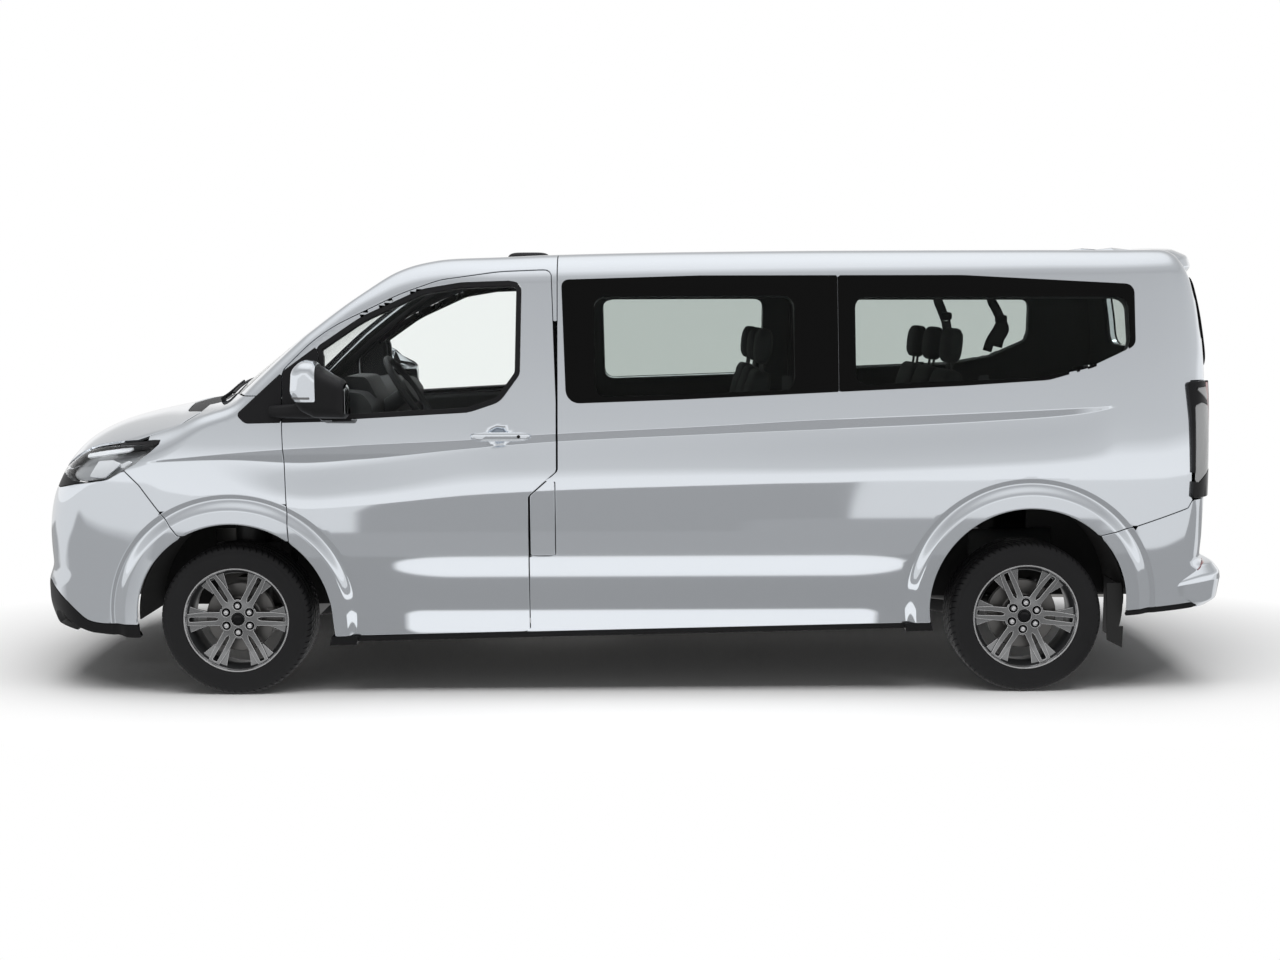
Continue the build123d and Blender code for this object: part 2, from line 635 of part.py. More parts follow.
def underbody():
    inner = volume(side_wall)
    floor = block(rear_x - 800, front_x - 150, -1000, 1000, floor_top - floor_wall, floor_top) & inner
    for y in (-rail_y, rail_y):
        floor += block(rear_x - 800, front_x - 300, y - 35, y + 35, rail_bottom, floor_top - floor_wall)
    for x in (-600, -1300, -2000, -2600):
        floor += block(front_x + x - 40, front_x + x + 40, -850, 850, cross_bottom, floor_top - floor_wall)
    floor += sill(1) + sill(-1)
    floor += block(rear_x - 800, rear_x - 788, -520, 520, rail_bottom, floor_top - floor_wall)
    for y in (-rail_y, rail_y):
        for z in (-towbar_spacing_z / 2, towbar_spacing_z / 2):
            centre = (rail_bottom + floor_top - floor_wall) / 2 + z
            floor -= rod((rear_x - 810, y, centre), (rear_x - 740, y, centre), towbar_hole_radius)
    wells = arch(front_x, front_arch_z, liner_radius, 530) + arch(rear_x, rear_arch_z, liner_radius, 600)
    floor -= wells
    bulkhead = block(bulkhead_x - bulkhead_wall, bulkhead_x, -1000, 1000, 400, dash_floor) & volume(frame_wall)
    floor += bulkhead - wells
    save("floor_pan", floor)
    save("sill_trims", *both((wall(side_wall) & sill_zone) - block(
        front_x - 300, front_x + 900, 500, 1300, 0, 900)))
    save("wheel_arch_liners", *liners())
    save("engine", block(front_x - 100, front_x + 420, -400, 400, 300, 880))
    save("front_subframe", front_subframe())
    save("rear_axle", rear_axle())
    save("fuel_tank", block(front_x - 1560, front_x - 840, 60, 420, 250, cross_bottom))
    muffler_x, muffler_z, pipe_y, pipe_z = front_x - 1000, 285, -180, 226
    exhaust = rod((front_x - 102, -120, 345), (muffler_x, pipe_y, muffler_z + 20), 24)
    exhaust += rod((muffler_x, pipe_y, muffler_z), (muffler_x - 650, pipe_y, muffler_z), 85)
    exhaust += rod((muffler_x - 650, pipe_y, pipe_z), (rear_x - 760, pipe_y, pipe_z), 24)
    exhaust += block(muffler_x - 340, muffler_x - 260, pipe_y - 20, pipe_y + 20, muffler_z, cross_bottom)
    exhaust += rod((rear_x - 500, pipe_y, pipe_z), (rear_x - 500, pipe_y, floor_top - floor_wall), 8)
    save("exhaust", exhaust)


liner_radius = arch_radius + liner_gap + liner_wall


def sill(side):
    """A box section under the door opening, from the front arch to the rear arch."""
    y0, y1 = sorted((side * 780, side * 925))
    return block(rear_x + 460, front_x - 470, y0, y1, 330, floor_top - floor_wall) & volume(side_wall)


def liners():
    """A cup over each wheel, open below and towards its axle."""
    cups = []
    for x, z, y in ((front_x, front_arch_z, 545), (rear_x, rear_arch_z, 615)):
        cup = disc(x, z, liner_radius, y, 1000) - disc(x, z, liner_radius - liner_wall, y + liner_wall, 1100)
        cup -= block(x - 190, x + 190, 500, 1100, 0, 690)
        cup -= block(x - 75, x + 75, 500, 745, 0, 1000)
        cup -= block(x - 600, x + 600, 500, 1100, 0, 330)
        cups += both(cup & volume(side_wall + door_gap))
    return cups


def front_subframe():
    frame = block(front_x - 220, front_x - 130, -420, 420, 215, 300)
    frame += block(front_x + 60, front_x + 140, -420, 420, 215, 300)
    for side in (-1, 1):
        y0, y1 = sorted((side * 380, side * 440))
        frame += block(front_x - 220, front_x + 140, y0, y1, 215, 300)
        for x in (-150, 90):
            frame += rod((front_x + x, side * 430, 240), (front_x, side * (kingpin_y - 10), 210), 14)
        frame += rod((front_x, side * kingpin_y, 199), (front_x, side * kingpin_y, 226), 26)
        frame -= rod((front_x, side * kingpin_y, 190), (front_x, side * kingpin_y, 230), kingpin_radius + pin_clearance)
        frame += block(front_x - 40, front_x + 40, *sorted((side * 440, side * 500)), 215, 960)
        frame += block(front_x - 60, front_x + 60, *sorted((side * 440, side * 720)), 930, 960)
        frame += rod((front_x, side * 670, 505), (front_x, side * 670, 935), 27)
        frame += rod((front_x, side * 670, 640), (front_x, side * 670, 930), 62)
    return frame


def rear_axle():
    """Twist beam, trailing arms, stub axles, springs under the rails and dampers."""
    beam_x, beam_z = rear_x + 160, 300
    beam = rod((beam_x, -570, beam_z), (beam_x, 570, beam_z), 45)
    for side in (-1, 1):
        beam += rod((rear_x + 480, side * 540, 385), (rear_x, side * 570, axle_z), 28)
        beam += rod((rear_x, side * 550, axle_z), (rear_x, side * (track / 2 + spindle_reach), axle_z), spindle_radius)
        beam += rod((rear_x, side * 700, axle_z), (rear_x, side * 730, axle_z), 75)
        beam += rod((beam_x - 20, side * rail_y, beam_z), (beam_x - 20, side * rail_y, rail_bottom), 45)
        beam += rod((rear_x - 30, side * 545, axle_z), (rear_x - 140, side * 540, floor_top - floor_wall - 15), 20)
        beam += block(rear_x + 445, rear_x + 515, *sorted((side * 507, side * 570)), 385, floor_top - floor_wall)
    return beam


# ---- Wheels ----
spoke_pairs = 6
spindle_radius = 28
spindle_reach = 34         # beyond the wheel's middle plane
nut_circle = 60


def wheel():
    """A left wheel about its own centre, outer face towards +Y: rim, six double spokes, hub and brake disc."""
    rim = disc(0, 0, rim_radius + 6, -95, 88) - disc(0, 0, rim_radius - 8, -100, 100)
    rim += disc(0, 0, rim_radius + 18, 88, 97) - disc(0, 0, rim_radius - 2, 80, 100)
    hub = disc(0, 0, 82, 40, 66) + disc(0, 0, 29, 40, 72)
    for index in range(spoke_pairs):
        for lean in (-1, 1):
            bar = front_prism([(-13, 50), (13, 50), (19, rim_radius - 3), (-19, rim_radius - 3)], 46, 74)
            bar = Rot(0, 0, 90) * bar
            turn = 360 / spoke_pairs * index + lean * 8.5
            hub += Rot(0, turn, 0) * bar
        nut = Rot(0, 360 / spoke_pairs * (index + 0.5), 0) * (Pos(0, 0, nut_circle) * rod((0, 60, 0), (0, 78, 0), 11))
        hub += nut
    hub += disc(0, 0, 75, 0, 44)
    hub += disc(0, 0, 160, -14, 12) - disc(0, 0, 62, -20, 4)
    return rim + hub - disc(0, 0, spindle_radius + pin_clearance, -20, spindle_reach + 2)


def tyre():
    half = tyre_width / 2
    profile = [(rim_radius + 6, -94), (rim_radius + 18, -99), (270, -half, 30), (tyre_radius - 12, -half + 8, 20),
               (tyre_radius, -half + 30, 30), (tyre_radius, half - 30, 30), (tyre_radius - 12, half - 8, 20),
               (270, half, 30), (rim_radius + 19, 99), (rim_radius + 19, 86), (rim_radius + 6, 86)]
    plane = Plane(origin=(0, 0, 0), x_dir=(0, 0, 1), z_dir=(-1, 0, 0))
    return revolve(plane * rounded([(r, y, *rest) for r, y, *rest in profile]), Axis.Y)


def knuckle():
    """Left knuckle: hub carrier inside the rim, neck up to the strut's foot, and brake caliper."""
    body = disc(front_x, axle_z, 70, kingpin_y - 40, kingpin_y + 25)
    body += block(front_x - 25, front_x + 25, kingpin_y - 40, kingpin_y, 233, 480)
    body += block(front_x - 30, front_x + 30, 640, kingpin_y, 450, 500)
    body += rod((front_x, kingpin_y, 197), (front_x, kingpin_y, 300), kingpin_radius)
    body += block(front_x - 190, front_x - 120, track / 2 - 50, track / 2 + 30, 306, 376)
    body -= disc(front_x, axle_z, 166, track / 2 - 20, track / 2 + 18)
    body += disc(front_x, axle_z, spindle_radius, kingpin_y, track / 2 + spindle_reach)
    body += block(front_x - 190, front_x, kingpin_y - 30, kingpin_y, 320, 360)
    body += block(front_x - 190, front_x - 130, kingpin_y - 30, track / 2 - 24, 320, 360)
    return body


def wheels():
    for end, x in (("front", front_x), ("rear", rear_x)):
        made = Pos(x, track / 2, axle_z) * wheel()
        rubber = Pos(x, track / 2, axle_z) * tyre()
        for side, flip in (("left", False), ("right", True)):
            save(f"wheel_{end}_{side}", mirror(made, about=Plane.XZ) if flip else made)
            save(f"tyre_{end}_{side}", mirror(rubber, about=Plane.XZ) if flip else rubber)
    carrier = knuckle()
    save("knuckle_left", carrier)
    save("knuckle_right", mirror(carrier, about=Plane.XZ))


# ---- Cabin ----
dash_line = from_front((30, 1240), (20, 1262), (-150, 1300, 0), (-420, 1345, 60), (-560, 1330, 60), (-600, 1270, 40),
                       (-590, 1120, 40), (-500, 980, 60), (-150, 960), (-150, 1240))
wheel_centre = (front_x - 715, 450, 1320)
wheel_tilt = math.radians(34)
wheel_rim_radius = 182


def door_clear():
    """The space that the doors' inner faces need beside the dashboard."""
    return block(front_x - 900, front_x - 200, 845, 1300, 200, 2000) + block(
        front_x - 900, front_x - 200, -1300, -845, 200, 2000)


def cabin():
    dash = side_prism(dash_line, -815, 815)
    dash += side_prism(from_front((-420, 1300), (-430, 1400, 30), (-540, 1395, 30), (-590, 1300)), 280, 620)
    axis = Vector(-math.cos(wheel_tilt), 0, math.sin(wheel_tilt))
    centre = Vector(*wheel_centre)
    column_end = centre - axis * 45.3
    column_start = centre - axis * 260
    dash += rod(tuple(column_start), tuple(column_end), 38)
    save("dashboard", dash & (volume(frame_wall) - door_clear()))
    plane = Plane(origin=centre, x_dir=(0, 1, 0), z_dir=axis)
    ring = plane * Torus(wheel_rim_radius, 15)
    spokes = extrude(plane.offset(-30) * Circle(62), 40) + extrude(plane.offset(-45) * Circle(32), 20)
    bar = extrude(plane.offset(-22) * Rectangle(2 * wheel_rim_radius, 40), 16)
    drop = extrude(plane.offset(-22) * (Pos(0, -wheel_rim_radius / 2) * Rectangle(44, wheel_rim_radius)), 16)
    save("steering_wheel", ring + spokes + bar + drop)
    seats()


# Columns: name, x of the hip from the front axle, then each seat's y and width.
seat_rows = [
    ("front_seats", -1150, [(450, 500), (-450, 500)]),
    ("second_row_seats", -2180, [(440, 440), (0, 430), (-440, 440)]),
    ("third_row_seats", -3060, [(440, 440), (0, 430), (-440, 440)]),
]
seat_base_height = 250


def seats():
    legs = []
    straps = []
    for name, x, places in seat_rows:
        hip = front_x + x
        made = []
        for y, width in places:
            made.append(seat(hip, y, width - 10))
            legs.append(block(hip - 60, hip + 420, y - width / 2 + 55, y + width / 2 - 55, floor_top,
                              floor_top + seat_base_height))
        save(name, *made)
        for side in (-1, 1):
            straps.append(strap(hip, side))
    save("seat_bases", *legs)
    save("seat_belts", *straps)


def seat(hip, y, width):
    base = floor_top + seat_base_height
    low, high = y - width / 2, y + width / 2
    cushion = [(hip - 40, base, 20), (hip + 480, base, 20), (hip + 490, base + 130, 50), (hip - 60, base + 110, 20)]
    back = [(hip - 110, base + 60, 30), (hip + 10, base + 100, 30), (hip - 130, base + 680, 40), (hip - 230, base + 660, 40)]
    shape = side_prism(cushion, low, high) + side_prism(back, low, high)
    rest = [(hip - 235, base + 690, 30), (hip - 130, base + 690, 30), (hip - 150, base + 860, 35), (hip - 240, base + 860, 35)]
    shape += side_prism(rest, y - 130, y + 130)
    for post in (-60, 60):
        shape += rod((hip - 180, y + post, base + 640), (hip - 190, y + post, base + 720), 7)
    return shape


def strap(hip, side):
    """A flat belt that hangs from the cantrail behind each outer seat."""
    y = side * 780
    points = [(hip - 300, 880), (hip - 252, 880), (hip - 252, 1860), (hip - 300, 1860)]
    return side_prism(points, *sorted((y, y + side * 3))) & volume(side_wall + pin_clearance)


main()
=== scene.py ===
"""A nine-seat passenger minibus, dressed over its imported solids. Metres: +X forward, +Y left, +Z up.

The body is one smooth closed form, body_depth(points) = 0. Every outer panel is a grid of points that is
thrown onto that form along a field of rays, trimmed to the panel's own outline, and given a rolled edge, a
return and an inner face. Panels so made meet each other along their seams without a step.
"""
import math
import bpy
import numpy as np
from mathutils import Matrix


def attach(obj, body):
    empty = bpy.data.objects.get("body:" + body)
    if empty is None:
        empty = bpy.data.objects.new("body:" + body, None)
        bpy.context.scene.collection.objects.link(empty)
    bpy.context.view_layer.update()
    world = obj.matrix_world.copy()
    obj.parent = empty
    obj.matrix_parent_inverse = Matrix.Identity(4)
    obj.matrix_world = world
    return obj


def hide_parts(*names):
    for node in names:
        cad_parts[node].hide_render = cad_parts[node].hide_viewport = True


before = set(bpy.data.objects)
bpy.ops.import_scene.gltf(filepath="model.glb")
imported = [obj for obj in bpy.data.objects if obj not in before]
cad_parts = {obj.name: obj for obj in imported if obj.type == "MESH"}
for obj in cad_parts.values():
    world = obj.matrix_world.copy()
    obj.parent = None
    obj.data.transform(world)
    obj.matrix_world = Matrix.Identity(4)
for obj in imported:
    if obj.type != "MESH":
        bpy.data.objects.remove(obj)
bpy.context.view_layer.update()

# ---- Sizes shared with the solids ----
FRONT_X = 1.720
REAR_X = -1.780
HUB_Z = 0.336
TRACK_Y = 0.862
ARCH_RADIUS = 0.430
FRONT_ARCH = (FRONT_X, 0.340)
REAR_ARCH = (REAR_X, 0.394)
SEAM = 0.0015              # half of a gap between two panels
EDGE = 0.0024              # radius of a panel's rolled edge
STEP = 0.012               # spacing of a panel's grid
SIDE_STEP = (0.027, 0.010)  # the same on the sides, along and up
RING_RADIUS = 0.566        # outer edge of the pieces that carry a wheel arch's flare

# ---- How finely forms are found ----
HALVINGS = 24              # of a ray, to find where it leaves a form
EDGE_STEPS = 5             # Newton steps that draw a panel's loose corners to its outline
PROBE = 0.02               # length of their slope's probe, in grid steps
LONGEST_MOVE = 0.8         # of a corner in one step, in grid steps
TABLE_STEP = 0.002         # spacing of a line's table


# ---- Lines ----
def line(*points, soft=0.02):
    """A smooth line b(a) through (a, b) points.

    It is a monotone cubic through the points, tabulated every 2 mm, then averaged with a bell of width soft.
    """
    a, b = np.array(sorted(points), float).T
    gap = np.diff(a)
    rise = np.diff(b) / gap
    slope = np.concatenate([[rise[0]], np.zeros(len(a) - 2), [rise[-1]]])
    weight_a, weight_b = 2 * gap[1:] + gap[:-1], gap[1:] + 2 * gap[:-1]
    same = rise[:-1] * rise[1:] > 0
    with np.errstate(divide="ignore", invalid="ignore"):
        mean = (weight_a + weight_b) / (weight_a / rise[:-1] + weight_b / rise[1:])
    slope[1:-1] = np.where(same, mean, 0)
    pad = 5 * soft
    grid = np.arange(a[0] - pad, a[-1] + pad, TABLE_STEP)
    inner = np.clip(grid, a[0], a[-1])
    index = np.clip(np.searchsorted(a, inner) - 1, 0, len(gap) - 1)
    share = (inner - a[index]) / gap[index]
    h00, h10 = 2 * share ** 3 - 3 * share ** 2 + 1, share ** 3 - 2 * share ** 2 + share
    h01, h11 = 3 * share ** 2 - 2 * share ** 3, share ** 3 - share ** 2
    value = h00 * b[index] + h10 * gap[index] * slope[index] + h01 * b[index
            + 1] + h11 * gap[index] * slope[index + 1]
    value += (grid - inner) * np.where(grid < inner, slope[0], slope[-1])
    if soft > 0:
        reach = int(4 * soft / TABLE_STEP)
        bell = np.exp(-0.5 * (np.arange(-reach, reach + 1) * TABLE_STEP / soft) ** 2)
        bell /= bell.sum()
        value = np.convolve(np.pad(value, reach, mode="reflect", reflect_type="odd"), bell, mode="valid")
    return lambda q: np.interp(q, grid, value)


def fade(q, low, high):
    """0 below low and 1 above high, with a smooth S between them."""
    share = np.clip((q - low) / (high - low), 0, 1)
    return share * share * (3 - 2 * share)


def smooth_max(a, b, radius):
    """The larger of two depths, with the corner between them rounded over about radius."""
    near = np.maximum(radius - np.abs(a - b), 0)
    return np.maximum(a, b) + near * near / (4 * radius)


def outline(*points):
    """A closed outline as an array of (a, b), with each (a, b, radius) corner rounded by an arc."""
    corners = [(p[0], p[1], p[2] if len(p) > 2 else 0) for p in points]
    made = []
    for before, (a, b, radius), after in zip(corners[-1:] + corners[:-1], corners, corners[1:] + corners[:1]):
        u = np.array(before[:2]) - (a, b)
        v = np.array(after[:2]) - (a, b)
        lu, lv = np.hypot(*u), np.hypot(*v)
        u, v = u / lu, v / lv
        turn = math.acos(max(-1, min(1, float(u @ v))))
        reach = min(radius / math.tan(turn / 2), 0.49 * lu, 0.49 * lv) if radius > 0 else 0
        if reach < 1e-5:
            made.append(np.array([[a, b]]))
            continue
        t = np.linspace(0, 1, 9)[:, None]
        start, end = np.array((a, b)) + u * reach, np.array((a, b)) + v * reach
        weight = math.sin(turn / 2)
        blend = (1 - t) ** 2 + 2 * weight * t * (1 - t) + t ** 2
        made.append(((1 - t) ** 2 * start + 2 * weight * t * (1 - t) * np.array((a, b)) + t ** 2 * end)
                    / blend)
    return np.concatenate(made)


def outline_depth(a, b, shape):
    """Signed distance of (a, b) points from a closed outline, negative inside."""
    start, end = shape, np.roll(shape, -1, axis=0)
    keep = np.hypot(*(end - start).T) > 1e-7
    start, end = start[keep], end[keep]
    nearest = np.full(np.shape(a), 1e9)
    inside = np.zeros(np.shape(a), bool)
    for (a0, b0), (a1, b1) in zip(start, end):
        da, db = a1 - a0, b1 - b0
        share = np.clip(((a - a0) * da + (b - b0) * db) / (da * da + db * db), 0, 1)
        nearest = np.minimum(nearest, (a - a0 - share * da) ** 2 + (b - b0 - share * db) ** 2)
        if db != 0:
            crosses = (b0 > b) != (b1 > b)
            inside ^= crosses & (a < a0 + (b - b0) / db * da)
    return np.sqrt(nearest) * np.where(inside, -1, 1)


# ---- The body's form ----
top_line = line((-3.2, 1.930), (-2.60, 1.958), (-2.34, 1.966), (-2.19, 1.965), (-1.85, 1.967), (-1.0, 1.968),
                (-0.37, 1.965), (0.32, 1.954), (0.60, 1.943), (0.837, 1.926), (0.99, 1.897), (1.107, 1.857),
                (1.277, 1.754), (1.563, 1.550), (1.80, 1.372), (1.895, 1.299), (1.94, 1.286), (2.034, 1.275),
                (2.117, 1.253), (2.26, 1.224), (2.415, 1.185), (2.52, 1.140), (2.60, 1.083), (2.68, 1.005),
                (2.80, 0.86), soft=0.016)
top_sweep = line((-0.5, 0), (0.25, -0.02), (0.70, -0.11), (0.98, -0.18), (1.20, -0.215), (1.60, -0.225),
                 (1.90, -0.235), (2.2, -0.20), (2.6, -0.20), soft=0.05)
top_fall = line((1.80, 0), (1.98, -0.03), (2.12, -0.075), (2.40, -0.11), (2.60, -0.09), soft=0.05)
top_crown = line((-3, 0.036), (0.5, 0.036), (1.1, 0.010), (1.4, 0), (3, 0), soft=0.05)
nose_line = line((0.10, 2.36), (0.155, 2.50), (0.196, 2.611), (0.313, 2.700), (0.401, 2.722), (0.470, 2.722),
                 (0.520, 2.706), (0.559, 2.694), (0.629, 2.698), (0.705, 2.700), (0.845, 2.690),
                 (0.956, 2.672), (1.05, 2.655), (1.3, 2.600), soft=0.012)
tail_line = line((0.20, -2.60), (0.30, -2.655), (0.345, -2.676), (0.392, -2.708), (0.437, -2.722),
                 (0.505, -2.724), (0.545, -2.705), (0.573, -2.676), (0.600, -2.662), (0.70, -2.668),
                 (0.95, -2.672), (1.10, -2.672), (1.45, -2.662), (1.62, -2.642), (1.79, -2.605),
                 (1.90, -2.565), (2.1, -2.48), soft=0.010)
side_line = line((0.05, 0.925), (0.10, 0.933), (0.30, 0.966), (0.41, 0.980), (0.52, 0.990), (0.69, 1.000),
                 (0.86, 1.003), (0.99, 0.998), (1.11, 0.986), (1.28, 0.958), (1.45, 0.927), (1.66, 0.886),
                 (1.872, 0.843), (2.1, 0.790), soft=0.05)
side_taper = line((-2.72, -0.150), (-2.66, -0.105), (-2.51, -0.040), (-2.36, -0.010), (-2.15, 0), (1.80, 0),
                  (2.05, -0.008), (2.28, -0.033), (2.42, -0.066), (2.52, -0.105), (2.70, -0.23), soft=0.04)
edge_round = line((-2.7, 0.10), (0.2, 0.12), (0.9, 0.10), (1.2, 0.05), (1.8, 0.05), (2.1, 0.11), (2.6, 0.10),
                  soft=0.05)
crease_high = line((-2.40, 1.283), (-2.113, 1.268), (-1.467, 1.240), (-0.869, 1.217), (-0.334, 1.189),
                   (0.403, 1.155), (0.673, 1.136), (1.146, 1.115), (1.490, 1.099), (2.094, 1.046),
                   (2.3, 1.020), soft=0.04)
crease_low = line((-2.40, 1.283), (-2.128, 1.262), (-2.05, 1.243), (-1.640, 1.209), (-0.334, 1.155),
                  (0.288, 1.128), (0.673, 1.099), (1.146, 1.053), (1.402, 1.037), (1.739, 1.053),
                  (2.0, 1.046), (2.3, 1.014), soft=0.04)
top_steep = line(*[(x, float(top_line(x + 0.01) - top_line(x - 0.01)) / 0.02)
                   for x in np.arange(-3, 2.79, 0.03)], soft=0)


def swage(x, z):
    """How far the side steps in: a facet from the upper to the lower crease, then a slow return."""
    high, low = crease_high(x), crease_low(x)
    width = np.maximum(high - low, 0.001)
    depth = 0.29 * width * fade(x, -2.16, -2.08) * (1 - fade(x, 2.0, 2.1))
    facet = np.clip((high - z) / width, 0, 1)
    back = fade(low - z, 0, 0.23)
    return -depth * facet * (1 - back)


def flare(x, z):
    """The wheel arches' flares, by distance from the centre: a moat, a slope up and a flat rim."""
    total = 0
    for centre_x, centre_z in (FRONT_ARCH, REAR_ARCH):
        radius = np.hypot(x - centre_x, z - centre_z)
        rise = 0.013 * (1 - fade(radius, 0.490, 0.543))
        moat = -0.0055 * fade(radius, 0.490, 0.543) * (1 - fade(radius, 0.541, 0.566))
        lip = 0.0025 * (1 - fade(radius, 0.430, 0.437))
        total = total + rise + moat - lip
    return total


def scoop(x, z):
    """The finger hollow behind the front door's handle: (1 - r^2)^2 over an oval."""
    inside = np.maximum(1 - ((x - 0.5435) / 0.060) ** 2 - ((z - 1.150) / 0.054) ** 2, 0)
    return -0.013 * inside ** 2


def body_depth(points):
    """How far points lie outside the body: the rounded maximum of the side, top, nose and tail depths."""
    x, y, z = points[..., 0], np.abs(points[..., 1]), points[..., 2]
    across = (y / 1.043) ** 2
    side = y - (side_line(z) + side_taper(x) + swage(x, z) + flare(x, z) + scoop(x, z))
    middle = x - top_sweep(x) * across
    middle = x - top_sweep(middle) * across
    top = z - (top_line(middle) + top_fall(middle) * across - top_crown(middle) * (y / 0.75) ** 2)
    top = top / np.sqrt(1 + top_steep(middle) ** 2)
    nose = x - (nose_line(z) - 0.14 * y ** 2 - 0.10 * y ** 6)
    tail = tail_line(z) + 0.130 * across - x
    depth = smooth_max(side, top, edge_round(x))
    depth = smooth_max(depth, nose, 0.13)
    return smooth_max(depth, tail, 0.09)


def slope_of(function, points, reach=0.0015):
    """The unit gradient of a function of points, from central differences."""
    grad = np.empty(points.shape)
    for axis in range(3):
        shift = np.zeros(3)
        shift[axis] = reach
        grad[..., axis] = function(points + shift) - function(points - shift)
    return grad / np.maximum(np.linalg.norm(grad, axis=-1, keepdims=True), 1e-12)


def meet(start, way, depth=0.0, reach=1.6, solid=body_depth):
    """Where rays from start along way leave the form that lies depth inside the solid, by halving."""
    low, high = np.zeros(start.shape[:-1]), np.full(start.shape[:-1], reach)
    for _ in range(HALVINGS):
        middle = (low + high) / 2
        outside = solid(start + way * middle[..., None]) > -depth
        high, low = np.where(outside, middle, high), np.where(outside, low, middle)
    return start + way * ((low + high) / 2)[..., None]


def row_height(x, v):
    """Heights of the side's rows: v, but rows 1.11, 1.12, 1.15 and 1.16 stay 2.5 mm off the two creases."""
    low = crease_low(x)
    high = np.maximum(crease_high(x), low + 0.012)
    rows = (0.90, 1.11, 1.12, 1.15, 1.16, 1.34)
    heights = (0.90, low - 0.0025, low + 0.0025, high - 0.0025, high + 0.0025, 1.34)
    z = v
    for v0, v1, z0, z1 in zip(rows, rows[1:], heights, heights[1:]):
        z = z + np.clip((v - v0) / (v1 - v0), 0, 1) * ((z1 - z0) - (v1 - v0))
    return z


# ---- Fields of rays: each takes a grid's two parameters and gives start points and directions ----
def straight(start, way):
    """Starts, with one direction for all."""
    return start, np.broadcast_to(np.array(way, float), start.shape)


def rays_side(x, v):
    """Straight out to the left, in rows that follow the creases."""
    return straight(np.stack([x, np.full_like(x, 0.2), row_height(x, v)], -1), (0, 1, 0))


def rays_up(x, y, base=0.9):
    """Straight up."""
    return straight(np.stack([x, y, np.full_like(x, base)], -1), (0, 0, 1))


def rays_roof(x, y):
    return rays_up(x, y, 1.5)


def rays_back(y, z):
    """Straight back."""
    return straight(np.stack([np.full_like(y, -2.2), y, z], -1), (-1, 0, 0))


def wrap_height(x):
    return np.minimum(1.60, top_line(np.minimum(x, 2.45)) - 0.27)


def rays_creased(x, v):
    """As rays_wrap, in rows that follow the creases."""
    return rays_wrap(x, row_height(x, v))


def rays_arch(centre):
    """Straight out to the left, on a grid of angle and radius about a wheel arch."""
    def rays(angle, radius):
        turn = np.radians(angle)
        return straight(np.stack([centre[0] + radius * np.cos(turn), np.full_like(radius, 0.2),
                                  centre[1] + radius * np.sin(turn)], -1), (0, 1, 0))
    return rays


def rays_wrap(x, v):
    """Round a cross-section: out to the left, turning up over 0.5 m of v, then up, with y falling."""
    bend = wrap_height(x)
    turn = np.clip((v - bend) / 0.5, 0, 1)
    angle = turn * math.pi / 2
    y = np.where(turn < 1, 0.55, 0.55 - (v - bend - 0.5))
    y = np.where(v < bend, 0.2, y)
    z = np.where(v < bend, v, bend)
    start = np.stack([x, y, z], -1)
    return start, np.stack([np.zeros_like(x), np.cos(angle), np.sin(angle)], -1)


def rays_nose(u, z):
    """Round the nose: u runs from the middle, then turns to a side, the left where u is positive."""
    side, u = np.where(u < 0, -1.0, 1.0), np.abs(u)
    angle = np.clip((u - 0.45) / 0.75, 0, 1) * math.pi / 2
    start = np.stack([2.30 - np.maximum(u - 1.2, 0), side * np.minimum(u, 0.45), z], -1)
    return start, np.stack([np.cos(angle), side * np.sin(angle), np.zeros_like(u)], -1)


def rays_bonnet(a, y):
    """Over the nose: a is an angle in degrees above the level, about a line across the vehicle; y stays."""
    angle = np.radians(a)
    start = np.stack([np.full_like(a, 2.02), y, np.full_like(a, 0.80)], -1)
    return start, np.stack([np.cos(angle), np.zeros_like(a), np.sin(angle)], -1)


def rays_tail(u, z):
    """Round the tail: u runs from the middle, then turns to a side, the left where u is positive."""
    side, u = np.where(u < 0, -1.0, 1.0), np.abs(u)
    angle = np.clip((u - 0.60) / 0.60, 0, 1) * math.pi / 2
    start = np.stack([-2.30 + np.maximum(u - 1.2, 0), side * np.minimum(u, 0.60), z], -1)
    return start, np.stack([-np.cos(angle), side * np.sin(angle), np.zeros_like(u)], -1)


# ---- Regions: signed depths of points, negative inside ----
def seen_side(*points):
    shape = outline(*points)
    return lambda p: outline_depth(p[..., 0], p[..., 2], shape)


def past_middle(points, axis):
    """Points of an outline, with those on the middle plane moved 0.3 m past it."""
    return [tuple(-0.3 if k == axis and value == 0 else value for k, value in enumerate(point))
            for point in points]


def seen_front(*points):
    shape = outline(*past_middle(points, 0))
    return lambda p: outline_depth(np.abs(p[..., 1]), p[..., 2], shape)


def seen_top(*points):
    shape = outline(*past_middle(points, 1))
    return lambda p: outline_depth(p[..., 0], np.abs(p[..., 1]), shape)


def round_hole(centre, radius):
    return lambda p: np.hypot(p[..., 0] - centre[0], p[..., 2] - centre[1]) - radius


def within(*regions):
    return lambda p: np.maximum.reduce([region(p) for region in regions])


def either(*regions):
    return lambda p: np.minimum.reduce([region(p) for region in regions])


def without(region, *holes):
    return lambda p: np.maximum.reduce([region(p)] + [-hole(p) for hole in holes])


def grown(region, by):
    return lambda p: region(p) - by


def side_of(x=None, y=None, z=None, above=True):
    """The half of space on one side of a plane at x, |y| or z."""
    def depth(p):
        value = p[..., 0] - x if x is not None else np.abs(p[..., 1]) - y if y is not None else p[..., 2] - z
        return -value if above else value
    return depth


